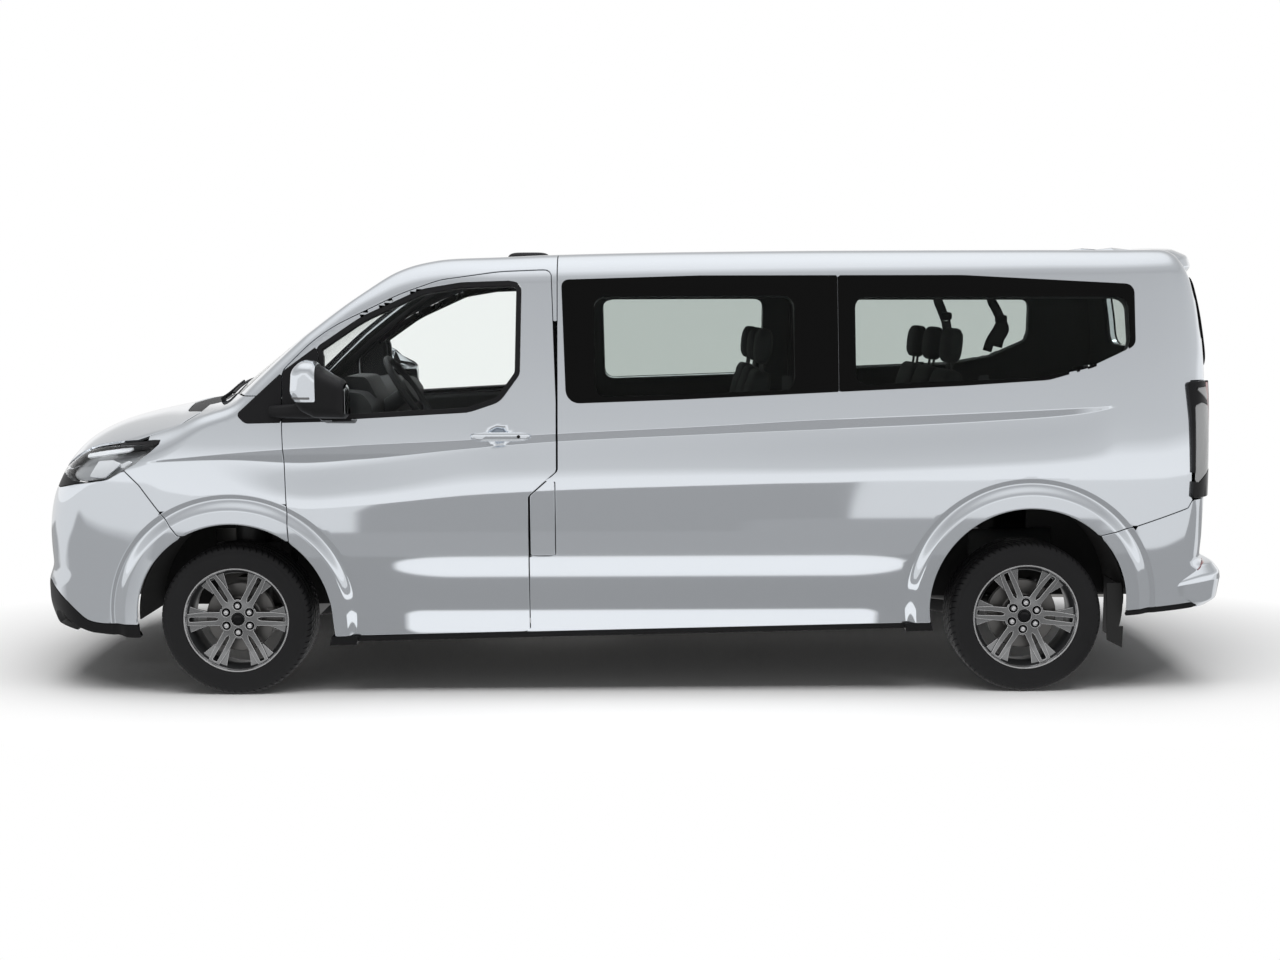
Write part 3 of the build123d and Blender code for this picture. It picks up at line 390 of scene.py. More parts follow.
# ---- Meshes ----
def build(name, points, faces, material_index, materials, normals=None):
    """One mesh object from arrays of points and quads (a triangle repeats its last corner)."""
    mesh = bpy.data.meshes.new(name)
    quads = [tuple(f) if f[2] != f[3] else tuple(f[:3]) for f in faces.tolist()]
    mesh.from_pydata(points.tolist(), [], quads)
    for material in materials:
        mesh.materials.append(material)
    mesh.polygons.foreach_set("material_index", np.asarray(material_index, np.int32))
    mesh.polygons.foreach_set("use_smooth", np.full(len(quads), True))
    mesh.update()
    if normals is not None:
        mesh.normals_split_custom_set_from_vertices(normals.tolist())
    piece = bpy.data.objects.new(name, mesh)
    bpy.context.scene.collection.objects.link(piece)
    return piece


def turn_over(faces):
    """The same faces wound the other way; a triangle keeps its repeated corner last."""
    turned = faces[:, ::-1].copy()
    triangle = faces[:, 2] == faces[:, 3]
    turned[triangle] = faces[triangle][:, [2, 1, 0, 0]]
    return turned


def mirrored(points, faces, normals):
    """The same mesh on the vehicle's other side, still facing outwards."""
    flip = np.array([1, -1, 1])
    return points * flip, turn_over(faces), normals * flip


def skin(rays, region, spans, depth, inner_cut=0.0, step=STEP, form=0.0, roll=EDGE, gap=SEAM,
         solid=body_depth):
    """A panel's points, quads, groups (0 outer face, 1 inner face, 2 rolled edge, 3 return) and normals.

    The grid over spans is thrown along rays onto the body's form, sunk by form. Cells outside the region
    go, and the loose corners of those that stay are drawn to its edge. The edge rolls in by a quarter circle,
    returns to depth, and meets an inner face: the same grid moved inwards, and inner_cut further inside.
    """
    (a0, a1), (b0, b1) = spans
    scale_a, scale_b = step if isinstance(step, tuple) else (step, step)
    count_a, count_b = round((a1 - a0) / scale_a) + 1, round((b1 - b0) / scale_b) + 1
    grid_a, grid_b = np.meshgrid(np.linspace(a0, a1, count_a), np.linspace(b0, b1, count_b), indexing="ij")

    def cast(a, b):
        start, way = rays(a, b)
        return meet(start, way, form, solid=solid)

    points = cast(grid_a, grid_b)
    inset = roll + gap
    value = region(points) + inset
    inside = value < 0
    cell = inside[:-1, :-1].astype(int) + inside[1:, :-1] + inside[:-1, 1:] + inside[1:, 1:] >= 2
    cells_round = np.zeros(inside.shape, int)
    for i in (0, 1):
        for j in (0, 1):
            cells_round[i:i + cell.shape[0], j:j + cell.shape[1]] += cell
    used = cells_round > 0
    number = np.full(used.shape, -1)
    number[used] = np.arange(used.sum())
    a, b, p, value = grid_a[used], grid_b[used], points[used], value[used]
    loose = cells_round[used] < 4
    ea, eb = scale_a * PROBE, scale_b * PROBE
    for _ in range(EDGE_STEPS):
        fa = region(cast(a[loose] + ea, b[loose])) + inset
        fb = region(cast(a[loose], b[loose] + eb)) + inset
        f0 = value[loose]
        ga, gb = (fa - f0) / ea, (fb - f0) / eb
        length = np.maximum(ga * ga * scale_a ** 2 + gb * gb * scale_b ** 2, 1e-9)
        da, db = -f0 * ga * scale_a ** 2 / length, -f0 * gb * scale_b ** 2 / length
        size = np.maximum(np.maximum(np.abs(da) / scale_a, np.abs(db) / scale_b) / LONGEST_MOVE, 1)
        a[loose] += da / size
        b[loose] += db / size
        p[loose] = cast(a[loose], b[loose])
        value[loose] = region(p[loose]) + inset
    normal = slope_of(solid, p)
    quads = np.stack([number[:-1, :-1], number[1:, :-1], number[1:, 1:], number[:-1, 1:]], -1)[cell]
    facing = np.cross(p[quads[:, 1]] - p[quads[:, 0]], p[quads[:, 3]] - p[quads[:, 0]])
    if np.sum(facing * normal[quads[:, 0]]) < 0:
        quads = quads[:, ::-1]
    edges = np.concatenate([quads[:, [i, (i + 1) % 4]] for i in range(4)])
    key = edges.min(1).astype(np.int64) * len(p) + edges.max(1)
    _, first, count = np.unique(key, return_index=True, return_counts=True)
    rim = edges[first[count == 1]]
    grad = slope_of(region, p[np.unique(rim)])
    out = np.zeros_like(p)
    out[np.unique(rim)] = grad
    out -= normal * np.sum(out * normal, -1, keepdims=True)
    out /= np.maximum(np.linalg.norm(out, axis=-1, keepdims=True), 1e-9)
    total = len(p)
    all_points, all_normals, all_faces, groups = [p], [normal], [quads], [np.zeros(len(quads), int)]
    rings = [(math.radians(t), roll * math.sin(math.radians(t)), roll * (1 - math.cos(math.radians(t))))
             for t in (40, 90)]
    rings.append((math.pi / 2, roll, max(depth * 0.5, roll * 2)))
    last = np.arange(total)
    base = total
    members = np.unique(rim)
    local = np.full(total, -1)
    local[members] = np.arange(len(members))
    for angle, outward, down in rings:
        all_points.append(p[members] + out[members] * outward - normal[members] * down)
        all_normals.append(normal[members] * math.cos(angle) + out[members] * math.sin(angle))
        now = np.full(total, -1)
        now[members] = base + np.arange(len(members))
        all_faces.append(np.stack([last[rim[:, 1]], last[rim[:, 0]], now[rim[:, 0]], now[rim[:, 1]]], -1))
        groups.append(np.full(len(rim), 2 if down < roll * 1.5 else 3))
        base += len(members)
        last = now
    deep = p - normal * depth
    if inner_cut > 0:
        push = np.maximum(value + inner_cut, 0)
        pull = slope_of(region, p)
        pull -= normal * np.sum(pull * normal, -1, keepdims=True)
        deep = deep - pull * push[:, None]
    all_points.append(deep)
    all_normals.append(-normal)
    now = base + np.arange(total)
    all_faces.append(np.stack([last[rim[:, 1]], last[rim[:, 0]], now[rim[:, 0]], now[rim[:, 1]]], -1))
    groups.append(np.ones(len(rim), int))
    all_faces.append(now[quads[:, ::-1]])
    groups.append(np.ones(len(quads), int))
    return tuple(np.concatenate(parts) for parts in (all_points, all_faces, groups, all_normals))


def belongs(piece, side, body, instead):
    """Tie a piece to its body and hide the CAD nodes it stands for; either may be given by side."""
    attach(piece, body[side] if isinstance(body, dict) else body)
    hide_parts(*(instead[side] if isinstance(instead, dict) else instead))


def panel(name, arrays, materials, body, sides=("left", "right"), instead=()):
    """One or two objects from a panel's arrays: the left one as made, the right one mirrored.

    Materials are for the outer face, the inner face, the rolled edge and the return. instead names the CAD
    nodes that the pieces stand for, or gives them by side.
    """
    points, faces, groups, normals = arrays
    materials = list(materials) + [materials[0]] * (4 - len(materials))
    for side in sides:
        p, f, n = (points, faces, normals) if side == "left" else mirrored(points, faces, normals)
        piece = build(f"{name}_{side}" if len(sides) > 1 else name, p, f, groups, materials, n)
        belongs(piece, side, body, instead)


# ---- Shader parts ----
def node_group(name, inputs, outputs):
    """An empty shader node group with named (name, kind, default) inputs and (name, kind) outputs."""
    group = bpy.data.node_groups.new(name, "ShaderNodeTree")
    for label, kind, value in inputs:
        socket = group.interface.new_socket(label, in_out="INPUT", socket_type="NodeSocket" + kind)
        socket.default_value = value
    for label, kind in outputs:
        group.interface.new_socket(label, in_out="OUTPUT", socket_type="NodeSocket" + kind)
    start, end = group.nodes.new("NodeGroupInput"), group.nodes.new("NodeGroupOutput")
    return group, start, end


def add(tree, kind, *links, **values):
    """One node. links are sockets or constants for its inputs in order; None leaves an input alone."""
    node = tree.nodes.new("ShaderNode" + kind)
    for key, value in values.items():
        setattr(node, key, value)
    for index, given in enumerate(links):
        if given is None:
            continue
        if isinstance(given, bpy.types.NodeSocket):
            tree.links.new(given, node.inputs[index])
        else:
            node.inputs[index].default_value = given
    return node


def maths(tree, operation, *links):
    return add(tree, "Math", *links, operation=operation).outputs[0]


def grain_group():
    """Fine moulded grain: two sizes of noise, put out as a height and as a small lightening."""
    group, start, end = node_group("moulded_grain", [("Scale", "Float", 900.0), ("Depth", "Float", 0.4)],
                                   [("Height", "Float"), ("Tint", "Float")])
    place = add(group, "TexCoord").outputs["Object"]
    fine = add(group, "TexNoise", place, None, start.outputs["Scale"]).outputs[0]
    cells = add(group, "TexVoronoi", place, None, start.outputs["Scale"]).outputs["Distance"]
    height = maths(group, "MULTIPLY", maths(group, "ADD", fine, cells), start.outputs["Depth"])
    broad = add(group, "TexNoise", place, None, 6.0).outputs[0]
    group.links.new(height, end.inputs["Height"])
    group.links.new(broad, end.inputs["Tint"])
    return group


def flake_group():
    """Metal flake in paint: tiny cells of random value that vary the tone, and a broad noise put out as a
    height.
    """
    group, start, end = node_group("paint_flake", [("Scale", "Float", 2500.0)],
                                   [("Height", "Float"), ("Tone", "Float")])
    place = add(group, "TexCoord").outputs["Object"]
    cells = add(group, "TexVoronoi", place, None, start.outputs["Scale"]).outputs["Color"]
    tone = add(group, "SeparateColor", cells).outputs[0]
    wave = add(group, "TexNoise", place, None, 2.2).outputs[0]
    group.links.new(tone, end.inputs["Tone"])
    group.links.new(wave, end.inputs["Height"])
    return group


def weave_group():
    """Woven cloth: two crossed sine ribs, over and under, with uneven yarn."""
    group, start, end = node_group("woven_cloth", [("Scale", "Float", 700.0)],
                                   [("Height", "Float"), ("Tone", "Float")])
    place = add(group, "TexCoord").outputs["Object"]
    split = add(group, "SeparateXYZ", place)
    one = maths(group, "SINE",
                maths(group, "MULTIPLY", maths(group, "ADD", split.outputs[0], split.outputs[2]),
                      start.outputs["Scale"]))
    two = maths(group, "SINE", maths(group, "MULTIPLY", split.outputs[1], start.outputs["Scale"]))
    both = maths(group, "ADD", maths(group, "MULTIPLY", one, two),
                 add(group, "TexNoise", place, None, 350.0).outputs[0])
    group.links.new(both, end.inputs["Height"])
    group.links.new(add(group, "TexNoise", place, None, 40.0).outputs[0], end.inputs["Tone"])
    return group


def dust_group():
    """Road dust: more of it low down and in broad soft patches, as a mask."""
    group, start, end = node_group("road_dust", [("Amount", "Float", 0.3), ("Height", "Float", 0.6)],
                                   [("Mask", "Float")])
    place = add(group, "TexCoord").outputs["Object"]
    z = add(group, "SeparateXYZ", place).outputs[2]
    low = maths(group, "SUBTRACT", 1.0, maths(group, "DIVIDE", z, start.outputs["Height"]))
    low.node.use_clamp = True
    patch = add(group, "TexNoise", place, None, 9.0).outputs[0]
    mask = maths(group, "MULTIPLY", maths(group, "MULTIPLY", low, patch), start.outputs["Amount"])
    group.links.new(mask, end.inputs["Mask"])
    return group


GRAIN, FLAKE, WEAVE, DUST = grain_group(), flake_group(), weave_group(), dust_group()


def finish_of(name, colour, roughness=0.5, metallic=0.0, group=None, group_scale=None, bump=0.0, vary=0.0,
              dust=0.0,
              second=None, **sockets):
    """A material: one Principled shader, a detail group for bump and tone, and road dust where asked for."""
    material = bpy.data.materials.new(name)
    material.use_nodes = True
    tree = material.node_tree
    shader = tree.nodes["Principled BSDF"]
    shader.inputs["Base Color"].default_value = (*colour, 1)
    shader.inputs["Roughness"].default_value = roughness
    shader.inputs["Metallic"].default_value = metallic
    for key, value in sockets.items():
        shader.inputs[key.replace("_", " ")].default_value = value
    tone = None
    if group is not None:
        detail = tree.nodes.new("ShaderNodeGroup")
        detail.node_tree = group
        if group_scale is not None:
            detail.inputs["Scale"].default_value = group_scale
        if bump > 0:
            raised = add(tree, "Bump", None, None)
            raised.inputs["Strength"].default_value = bump
            raised.inputs["Distance"].default_value = 0.0006
            tree.links.new(detail.outputs["Height"], raised.inputs["Height"])
            tree.links.new(raised.outputs[0], shader.inputs["Normal"])
        tone = detail.outputs[1]
    mix = None
    if tone is not None and vary > 0:
        other = second if second is not None else tuple(min(1, c * 1.35 + 0.01) for c in colour)
        amount = maths(tree, "MULTIPLY", tone, vary)
        mix = add(tree, "MixRGB", amount, (*colour, 1), (*other, 1)).outputs[0]
        tree.links.new(mix, shader.inputs["Base Color"])
    if dust > 0:
        film = tree.nodes.new("ShaderNodeGroup")
        film.node_tree = DUST
        film.inputs["Amount"].default_value = dust
        laid = add(tree, "MixRGB", film.outputs[0], mix if mix is not None else (*colour, 1),
                   (0.30, 0.28, 0.25, 1)).outputs[0]
        tree.links.new(laid, shader.inputs["Base Color"])
    return material


PAINT = finish_of("silver_paint", (0.775, 0.815, 0.865), roughness=0.05, metallic=0.92, group=FLAKE, bump=0.0,
                  vary=0.10, second=(0.86, 0.88, 0.91), Coat_Weight=0.6, Coat_Roughness=0.02)
TRIM = finish_of("dark_trim", (0.035, 0.036, 0.038), roughness=0.62, group=GRAIN, group_scale=1400.0,
                 bump=0.25, vary=0.25, Specular_IOR_Level=0.16)
SATIN_BLACK = finish_of("black_moulding", (0.010, 0.010, 0.011), roughness=0.45, group=GRAIN,
                        group_scale=1800.0, bump=0.18, vary=0.2, Specular_IOR_Level=0.16)
GLOSS_BLACK = finish_of("gloss_black", (0.006, 0.006, 0.007), roughness=0.06, group=FLAKE, vary=0.1,
                        Coat_Weight=0.15, Specular_IOR_Level=0.16)


def glass_of(name, tint, roughness=0.0):
    """Glass: a transmitting shader, and for shadow and diffuse rays a plain tint, so that light passes."""
    material = finish_of(name, tint, roughness=roughness, Transmission_Weight=1.0, IOR=1.16,
                         Specular_IOR_Level=0.1)
    tree = material.node_tree
    path = add(tree, "LightPath")
    through = maths(tree, "MAXIMUM", path.outputs["Is Shadow Ray"], path.outputs["Is Diffuse Ray"])
    plain = add(tree, "BsdfTransparent", (*tint, 1))
    both = add(tree, "MixShader", through, tree.nodes["Principled BSDF"].outputs[0], plain.outputs[0])
    tree.links.new(both.outputs[0], tree.nodes["Material Output"].inputs[0])
    return material


CLEAR_GLASS = glass_of("clear_glass", (0.93, 0.95, 0.94))
DARK_GLASS = glass_of("privacy_glass", (0.66, 0.70, 0.68))
LAMP_CLEAR = glass_of("lamp_cover", (0.90, 0.91, 0.92))
LAMP_BOWL = finish_of("lamp_bowl", (0.46, 0.47, 0.48), roughness=0.35, metallic=0.5, group=FLAKE, vary=0.4,
                      second=(0.22, 0.22, 0.23))
LAMP_LIGHT = finish_of("lamp_light", (0.92, 0.93, 0.94), roughness=0.3, metallic=0.1, group=FLAKE, vary=0.2,
                       second=(0.7, 0.71, 0.73))
TAIL_GREY = finish_of("grey_lens", (0.36, 0.365, 0.37), roughness=0.14, group=FLAKE, vary=0.3,
                      second=(0.26, 0.265, 0.27), Coat_Weight=0.6)
STEEL = finish_of("plain_steel", (0.30, 0.295, 0.285), roughness=0.38, metallic=0.9, group=GRAIN,
                  group_scale=500.0, bump=0.1, vary=0.35)
BLACK_STEEL = finish_of("black_steel", (0.020, 0.020, 0.021), roughness=0.45, group=GRAIN, group_scale=700.0,
                        bump=0.12, vary=0.3, dust=0.15)
UNDERSIDE = finish_of("underbody_coating", (0.022, 0.022, 0.022), roughness=0.8, group=GRAIN,
                      group_scale=260.0, bump=0.4, vary=0.3, dust=0.2)
RUBBER = finish_of("flap_rubber", (0.014, 0.014, 0.014), roughness=0.62, group=GRAIN, group_scale=800.0,
                   bump=0.15, vary=0.25)
FELT = finish_of("arch_felt", (0.012, 0.012, 0.012), roughness=0.95, group=GRAIN, group_scale=420.0, bump=0.5,
                 vary=0.3)
FABRIC = finish_of("seat_fabric", (0.030, 0.031, 0.033), roughness=0.9, group=WEAVE, group_scale=700.0,
                   bump=0.35, vary=0.4)
WEBBING = finish_of("belt_webbing", (0.018, 0.018, 0.019), roughness=0.75, group=WEAVE, group_scale=1500.0,
                    bump=0.3, vary=0.3)
LAMP_SMOKE = finish_of("smoked_lens", (0.16, 0.16, 0.165), roughness=0.12, group=FLAKE, vary=0.5,
                       second=(0.06, 0.06, 0.065), Coat_Weight=0.6)
LAMP_RED = finish_of("red_lens", (0.22, 0.008, 0.01), roughness=0.10, group=FLAKE, vary=0.4,
                     second=(0.07, 0.004, 0.005), Coat_Weight=0.7)
ALLOY = finish_of("graphite_alloy", (0.30, 0.303, 0.308), roughness=0.26, metallic=0.9, group=FLAKE,
                  vary=0.25, second=(0.40, 0.403, 0.408))
ALLOY_DARK = finish_of("dark_alloy", (0.030, 0.031, 0.033), roughness=0.38, metallic=0.6, group=FLAKE,
                       vary=0.3)
MACHINED = finish_of("machined_alloy", (0.85, 0.85, 0.86), roughness=0.22, metallic=0.95, group=FLAKE,
                     vary=0.3, second=(0.45, 0.45, 0.46))
CHROME = finish_of("chrome", (0.80, 0.80, 0.81), roughness=0.07, metallic=1.0, group=FLAKE, vary=0.15,
                   second=(0.65, 0.66, 0.67))
IRON = finish_of("cast_iron", (0.20, 0.195, 0.19), roughness=0.42, metallic=0.8, group=GRAIN,
                 group_scale=600.0, bump=0.15, vary=0.35)
MIRROR = finish_of("mirror_glass", (0.72, 0.74, 0.76), roughness=0.02, metallic=1.0, group=FLAKE, vary=0.1)
TYRE = finish_of("tyre_rubber", (0.010, 0.010, 0.011), roughness=0.60, group=GRAIN, group_scale=900.0,
                 bump=0.2, vary=0.3, Specular_IOR_Level=0.3)
FRIT = finish_of("black_glass_border", (0.003, 0.003, 0.003), roughness=0.05, group=FLAKE, vary=0.1,
                 Specular_IOR_Level=0.08)


# ---- Outlines of the panels, as in the solids ----
def from_front(*points):
    return [(FRONT_X + x / 1000, z / 1000, *[r / 1000 for r in rest]) for x, z, *rest in points]


door_shape = from_front((-440, 263), (-425, 420), (-258, 620), (-231, 1190, 200), (-231, 1440, 60),
                        (-400, 1606, 900), (-742, 1770, 900), (-915, 1830, 300), (-1178, 1866, 900),
                        (-1405, 1874, 30), (-1427, 1300), (-1427, 997, 20), (-1304, 889, 20), (-1304, 281))
door_window_shape = from_front((-378, 1537, 30), (-574, 1671, 600), (-840, 1790, 200), (-1010, 1818, 300),
                               (-1275, 1826, 45), (-1268, 1420, 60), (-1180, 1300, 90), (-1046, 1256, 120),
                               (-395, 1222, 20), (-390, 1500, 30))
bonnet_shape = from_front((40, 1400), (78, 1310), (207, 1220, 300), (296, 1146, 60), (508, 1126, 300),
                          (650, 1101, 200), (740, 1052, 80), (850, 985, 80), (1100, 935), (1100, 1600),
                          (40, 1600))
bonnet_plan_shape = from_front((350, 0), (350, 250, 300), (275, 640, 300), (160, 800), (95, 860), (95, 900),
                               (1100, 900), (1100, 0))
lamp_shape = from_front((293, 1141, 6), (508, 1121, 300), (650, 1096, 200), (740, 1047, 60), (850, 980, 60),
                        (1050, 940), (1050, 880), (870, 905, 60), (700, 944, 60), (544, 966, 100),
                        (410, 1041, 100), (344, 1093, 60))
bumper_shape = from_front((200, 720), (232, 723), (331, 853, 60), (398, 944, 60), (462, 1005), (1100, 1005),
                          (1100, 100), (200, 100))
band_shape = [(0.270, 1.829, 0.030), (0.249, 1.291, 0.060), (-0.248, 1.307, 0.3), (-1.469, 1.361, 0.5),
              (-1.859, 1.385, 0.2), (-2.060, 1.440, 0.2), (-2.242, 1.535, 0.04), (-2.244, 1.800, 0.04),
              (-1.490, 1.842, 0.6), (-0.340, 1.845, 0.6)]
clear_shapes = [
    [(0.128, 1.756, 0.05), (0.120, 1.318, 0.05), (-0.750, 1.345, 0.05), (-0.750, 1.756, 0.05)],
    [(-1.017, 1.750, 0.05), (-1.017, 1.365, 0.05), (-1.80, 1.393, 0.1), (-2.02, 1.434, 0.1),
     (-2.205, 1.518, 0.03), (-2.220, 1.560, 0.03), (-2.214, 1.745, 0.05)],
]
BAND_SPLIT = -0.942
flap_shape = from_front((-1421, 990, 20), (-1310, 893, 12), (-1310, 626, 12), (-1421, 626, 12))
slide_shape = [(0.266, 1.868, 0.03), (0.266, 0.330, 0.03), (-0.890, 0.345, 0.03), (-0.902, 1.868, 0.03)]
tail_lamp_shape = [(-2.468, 1.377, 0.015), (-2.484, 1.210, 0.2), (-2.493, 0.956, 0.2), (-2.489, 0.866, 0.01),
                   (-2.88, 0.866), (-2.88, 1.377)]
rear_bumper_shape = [(-1.98, 0.10), (-1.98, 0.660), (-2.09, 0.708), (-2.246, 0.746), (-2.476, 0.822),
                     (-2.50, 0.860), (-2.88, 0.860), (-2.88, 0.10)]
gate_shape = [(0, 0.622), (0.812, 0.622, 0.06), (0.806, 0.900), (0.790, 1.380), (0.735, 1.800),
              (0.700, 1.990), (0, 1.990)]
screen_shape = [(0, 1.318), (0.812, 1.318, 0.05), (0.690, 1.872, 0.07), (0, 1.872)]
sill_shape = [(FRONT_X - 0.30, 0.259), (REAR_X + 0.30, 0.318), (REAR_X + 0.30, 0.1), (FRONT_X - 0.30, 0.1)]

door = seen_side(*door_shape)
door_window = seen_side(*door_window_shape)
bonnet_side, bonnet_plan = seen_side(*bonnet_shape), seen_top(*bonnet_plan_shape)
lamp = seen_side(*lamp_shape)
bumper = seen_side(*bumper_shape)
band = seen_side(*band_shape)
clears = [seen_side(*shape) for shape in clear_shapes]
flap = seen_side(*flap_shape)
slide = seen_side(*slide_shape)
tail_lamp = seen_side(*tail_lamp_shape)
rear_bumper = seen_side(*rear_bumper_shape)
gate = seen_front(*gate_shape)
screen = seen_front(*screen_shape)
front_arch, rear_arch = round_hole(FRONT_ARCH, ARCH_RADIUS), round_hole(REAR_ARCH, ARCH_RADIUS)
front_ring, rear_ring = round_hole(FRONT_ARCH, RING_RADIUS - EDGE - SEAM), round_hole(REAR_ARCH,
        RING_RADIUS - EDGE - SEAM)
ahead = side_of(x=2.2)
grille = within(seen_front((0, 0.905), (0.545, 0.905, 0.04), (0.430, 0.590, 0.06), (0, 0.590)), ahead)
intake = within(seen_front((0, 0.420), (0.560, 0.420, 0.03), (0.480, 0.270, 0.04), (0, 0.270)), ahead)

ROOF_HALF = 0.700
ROOF_FRONT = FRONT_X - 0.800
GATE_X = REAR_X - 0.545
bonnet_region = within(bonnet_side, bonnet_plan)
lamp_region = within(lamp, side_of(y=0.560))
roof_region = within(side_of(x=GATE_X), side_of(x=ROOF_FRONT, above=False), side_of(y=ROOF_HALF, above=False),
                     side_of(z=1.7))
screen_region = within(screen, side_of(x=FRONT_X - 1.0), side_of(x=FRONT_X + 0.3, above=False))
gate_region = within(gate, side_of(x=GATE_X, above=False))
tail_lamp_region = within(tail_lamp, side_of(y=0.812))
sill_line_region = seen_side(*sill_shape)
front_strip = seen_side((2.90, 0.50), (2.603, 0.486), (2.487, 0.402, 0.10), (2.395, 0.326, 0.12),
                        (2.327, 0.318, 0.05), (1.90, 0.316), (1.90, 0.05), (2.90, 0.05))
front_chin = seen_front((0, 0.165), (0.55, 0.205), (0.70, 0.275), (0.80, 0.358, 0.05), (0.835, 0.352, 0.05),
                        (0.875, 0.298), (0.905, 0.272), (0.95, 0.256), (1.10, 0.256), (1.10, 0.05), (0, 0.05))
rear_strip = seen_side((-1.90, 0.345), (-2.215, 0.368), (-2.37, 0.381), (-2.52, 0.394, 0.1), (-2.64, 0.415),
                       (-2.90, 0.425), (-2.90, 0.05), (-1.90, 0.05))
rear_chin = seen_side((-1.90, 0.330), (-2.22, 0.344), (-2.37, 0.356), (-2.52, 0.368), (-2.62, 0.385),
                      (-2.90, 0.395), (-2.90, 0.05), (-1.90, 0.05))

# ---- The painted shell ----
door_bodies = {"left": "front_door_left", "right": "front_door_right"}
door_nodes = {side: [node] for side, node in door_bodies.items()}
glass_nodes = {"left": ["door_glass_left"], "right": ["door_glass_right"]}
mirror_nodes = {"left": ["mirror_left"], "right": ["mirror_right"]}
rear_clear = seen_front((0, 1.500), (0.575, 1.500, 0.06), (0.555, 1.775, 0.06), (0, 1.775))
wing = within(seen_side(*from_front((-300, 100), (-300, 1330), (60, 1330), (800, 1000), (800, 100))),
              side_of(y=0.60))
# The wing's and side panels' returns are dark trim: painted shade in their seams and openings, where the real
# returns are body-coloured.
panel("front_wing",
      skin(rays_side, without(wing, door, bonnet_region, lamp_region, bumper, front_ring),
           ((1.40, 2.22), (0.24, 1.34)), 0.026, step=SIDE_STEP), [PAINT, TRIM, PAINT, TRIM], "body",
      instead=["front_wings"])
panel("front_door_skin",
      skin(rays_side, without(door, door_window, front_ring), ((0.28, 1.50), (0.25, 1.89)), 0.066,
           inner_cut=0.022, step=SIDE_STEP), [PAINT, TRIM], door_bodies, instead=door_nodes)
side_field = seen_side(*from_front((-1200, 100), (-1200, 992), (-1432, 997), (-1432, 2100)), (-2.9, 2.1),
                       (-2.9, 0.1))
side_holes = [door, rear_ring, rear_bumper, tail_lamp_region, gate_region, sill_line_region,
              roof_region] + clears
# Dark trim returns here too: painted shade in the seams and openings.
panel("side_panel",
      skin(rays_creased, without(side_field, flap, *side_holes), ((-2.68, 0.54), (0.25, 2.10)), 0.066,
           step=SIDE_STEP), [PAINT, TRIM, PAINT, TRIM], "body", sides=("left",),
      instead=["body_side_left"])
panel("side_panel_right",
      skin(rays_creased, without(side_field, slide, *side_holes), ((-2.68, 0.54), (0.25, 2.10)), 0.066,
           step=SIDE_STEP), [PAINT, TRIM, PAINT, TRIM], "body", sides=("right",),
      instead=["body_side_right"])
panel("sliding_door_skin",
      skin(rays_side, without(slide, rear_ring, *clears), ((-0.92, 0.29), (0.32, 1.89)), 0.066,
           step=SIDE_STEP), [PAINT, TRIM], "body", sides=("right",), instead=["sliding_door"])
panel("fuel_flap_skin", skin(rays_side, flap, ((0.28, 0.43), (0.61, 1.0)), 0.008), [PAINT, TRIM], "fuel_flap",
      sides=("left",), instead=["fuel_flap"])
frame_field = within(side_of(x=FRONT_X - 1.432), side_of(x=FRONT_X + 0.30, above=False), side_of(z=1.238))
panel("windscreen_pillar",
      skin(rays_wrap,
           without(frame_field, door, bonnet_region, roof_region, screen_region, wing,
                   within(side_of(x=FRONT_X + 0.02), side_of(y=0.79, above=False))),
           ((0.27, 1.96), (1.20, 2.70)), 0.054, step=0.016), [PAINT, TRIM], "body",
      instead=["cab_frame"])
panel("bonnet_skin",
      skin(rays_bonnet, bonnet_region, ((0.0, 112.0), (-0.93, 0.93)), 0.022, step=(1.3, 0.020)),
      [PAINT, SATIN_BLACK], "bonnet", sides=("left",), instead=["bonnet"])
panel("nose_skin",
      skin(rays_nose,
           without(within(bumper, side_of(x=FRONT_X + 0.20)), lamp_region, bonnet_region, front_ring,
                   front_strip, grille, intake), ((-1.72, 1.72), (0.17, 1.09)), 0.04, step=0.015),
      [PAINT, SATIN_BLACK], "body", sides=("left",), instead=["front_bumper"])
panel("roof_skin", skin(rays_roof, roof_region, ((-2.36, 0.95), (-0.72, 0.72)), 0.038, step=(0.04, 0.024)),
      [PAINT, TRIM], "body", sides=("left",), instead=["roof_panel"])
panel("tail_bumper_skin",
      skin(rays_tail,
           without(within(rear_bumper, side_of(x=-1.9, above=False)), gate_region, rear_ring, rear_strip),
           ((-1.55, 1.55), (0.28, 0.88)), 0.05, step=0.015), [PAINT, SATIN_BLACK], "body",
      sides=("left",), instead=["rear_bumper"])
panel("tailgate_skin",
      skin(rays_back, without(gate_region, rear_clear), ((-0.84, 0.84), (0.60, 1.95)), 0.05, step=0.018),
      [PAINT, TRIM], "tailgate", sides=("left",), instead=["tailgate"])


# ---- Wheel arch flares, each on a grid of its own that runs round its arch ----
def flare_piece(name, arch, region, body, sides=("left", "right"), angles=(-14.0, 194.0)):
    """The part of a panel between an arch and the ring round it, on rows of equal radius."""
    ring = lambda p: np.hypot(p[..., 0] - arch[0], p[..., 2] - arch[1]) - (RING_RADIUS + 0.0005 + EDGE + SEAM)
    field = without(within(region, ring), round_hole(arch, ARCH_RADIUS))
    panel(name, skin(rays_arch(arch), field, (angles, (0.428, 0.576)), 0.020, step=(2.2, 0.005)),
          [PAINT, SATIN_BLACK], body, sides=sides)


flare_piece("front_flare_wing", FRONT_ARCH, without(wing, door, bumper), "body")
flare_piece("front_flare_door", FRONT_ARCH, door, door_bodies)
flare_piece("front_flare_bumper", FRONT_ARCH, without(bumper, front_strip), "body")
flare_piece("rear_flare_side", REAR_ARCH, without(side_field, rear_bumper, sill_line_region), "body")
flare_piece("rear_flare_bumper", REAR_ARCH, without(rear_bumper, rear_strip), "body")

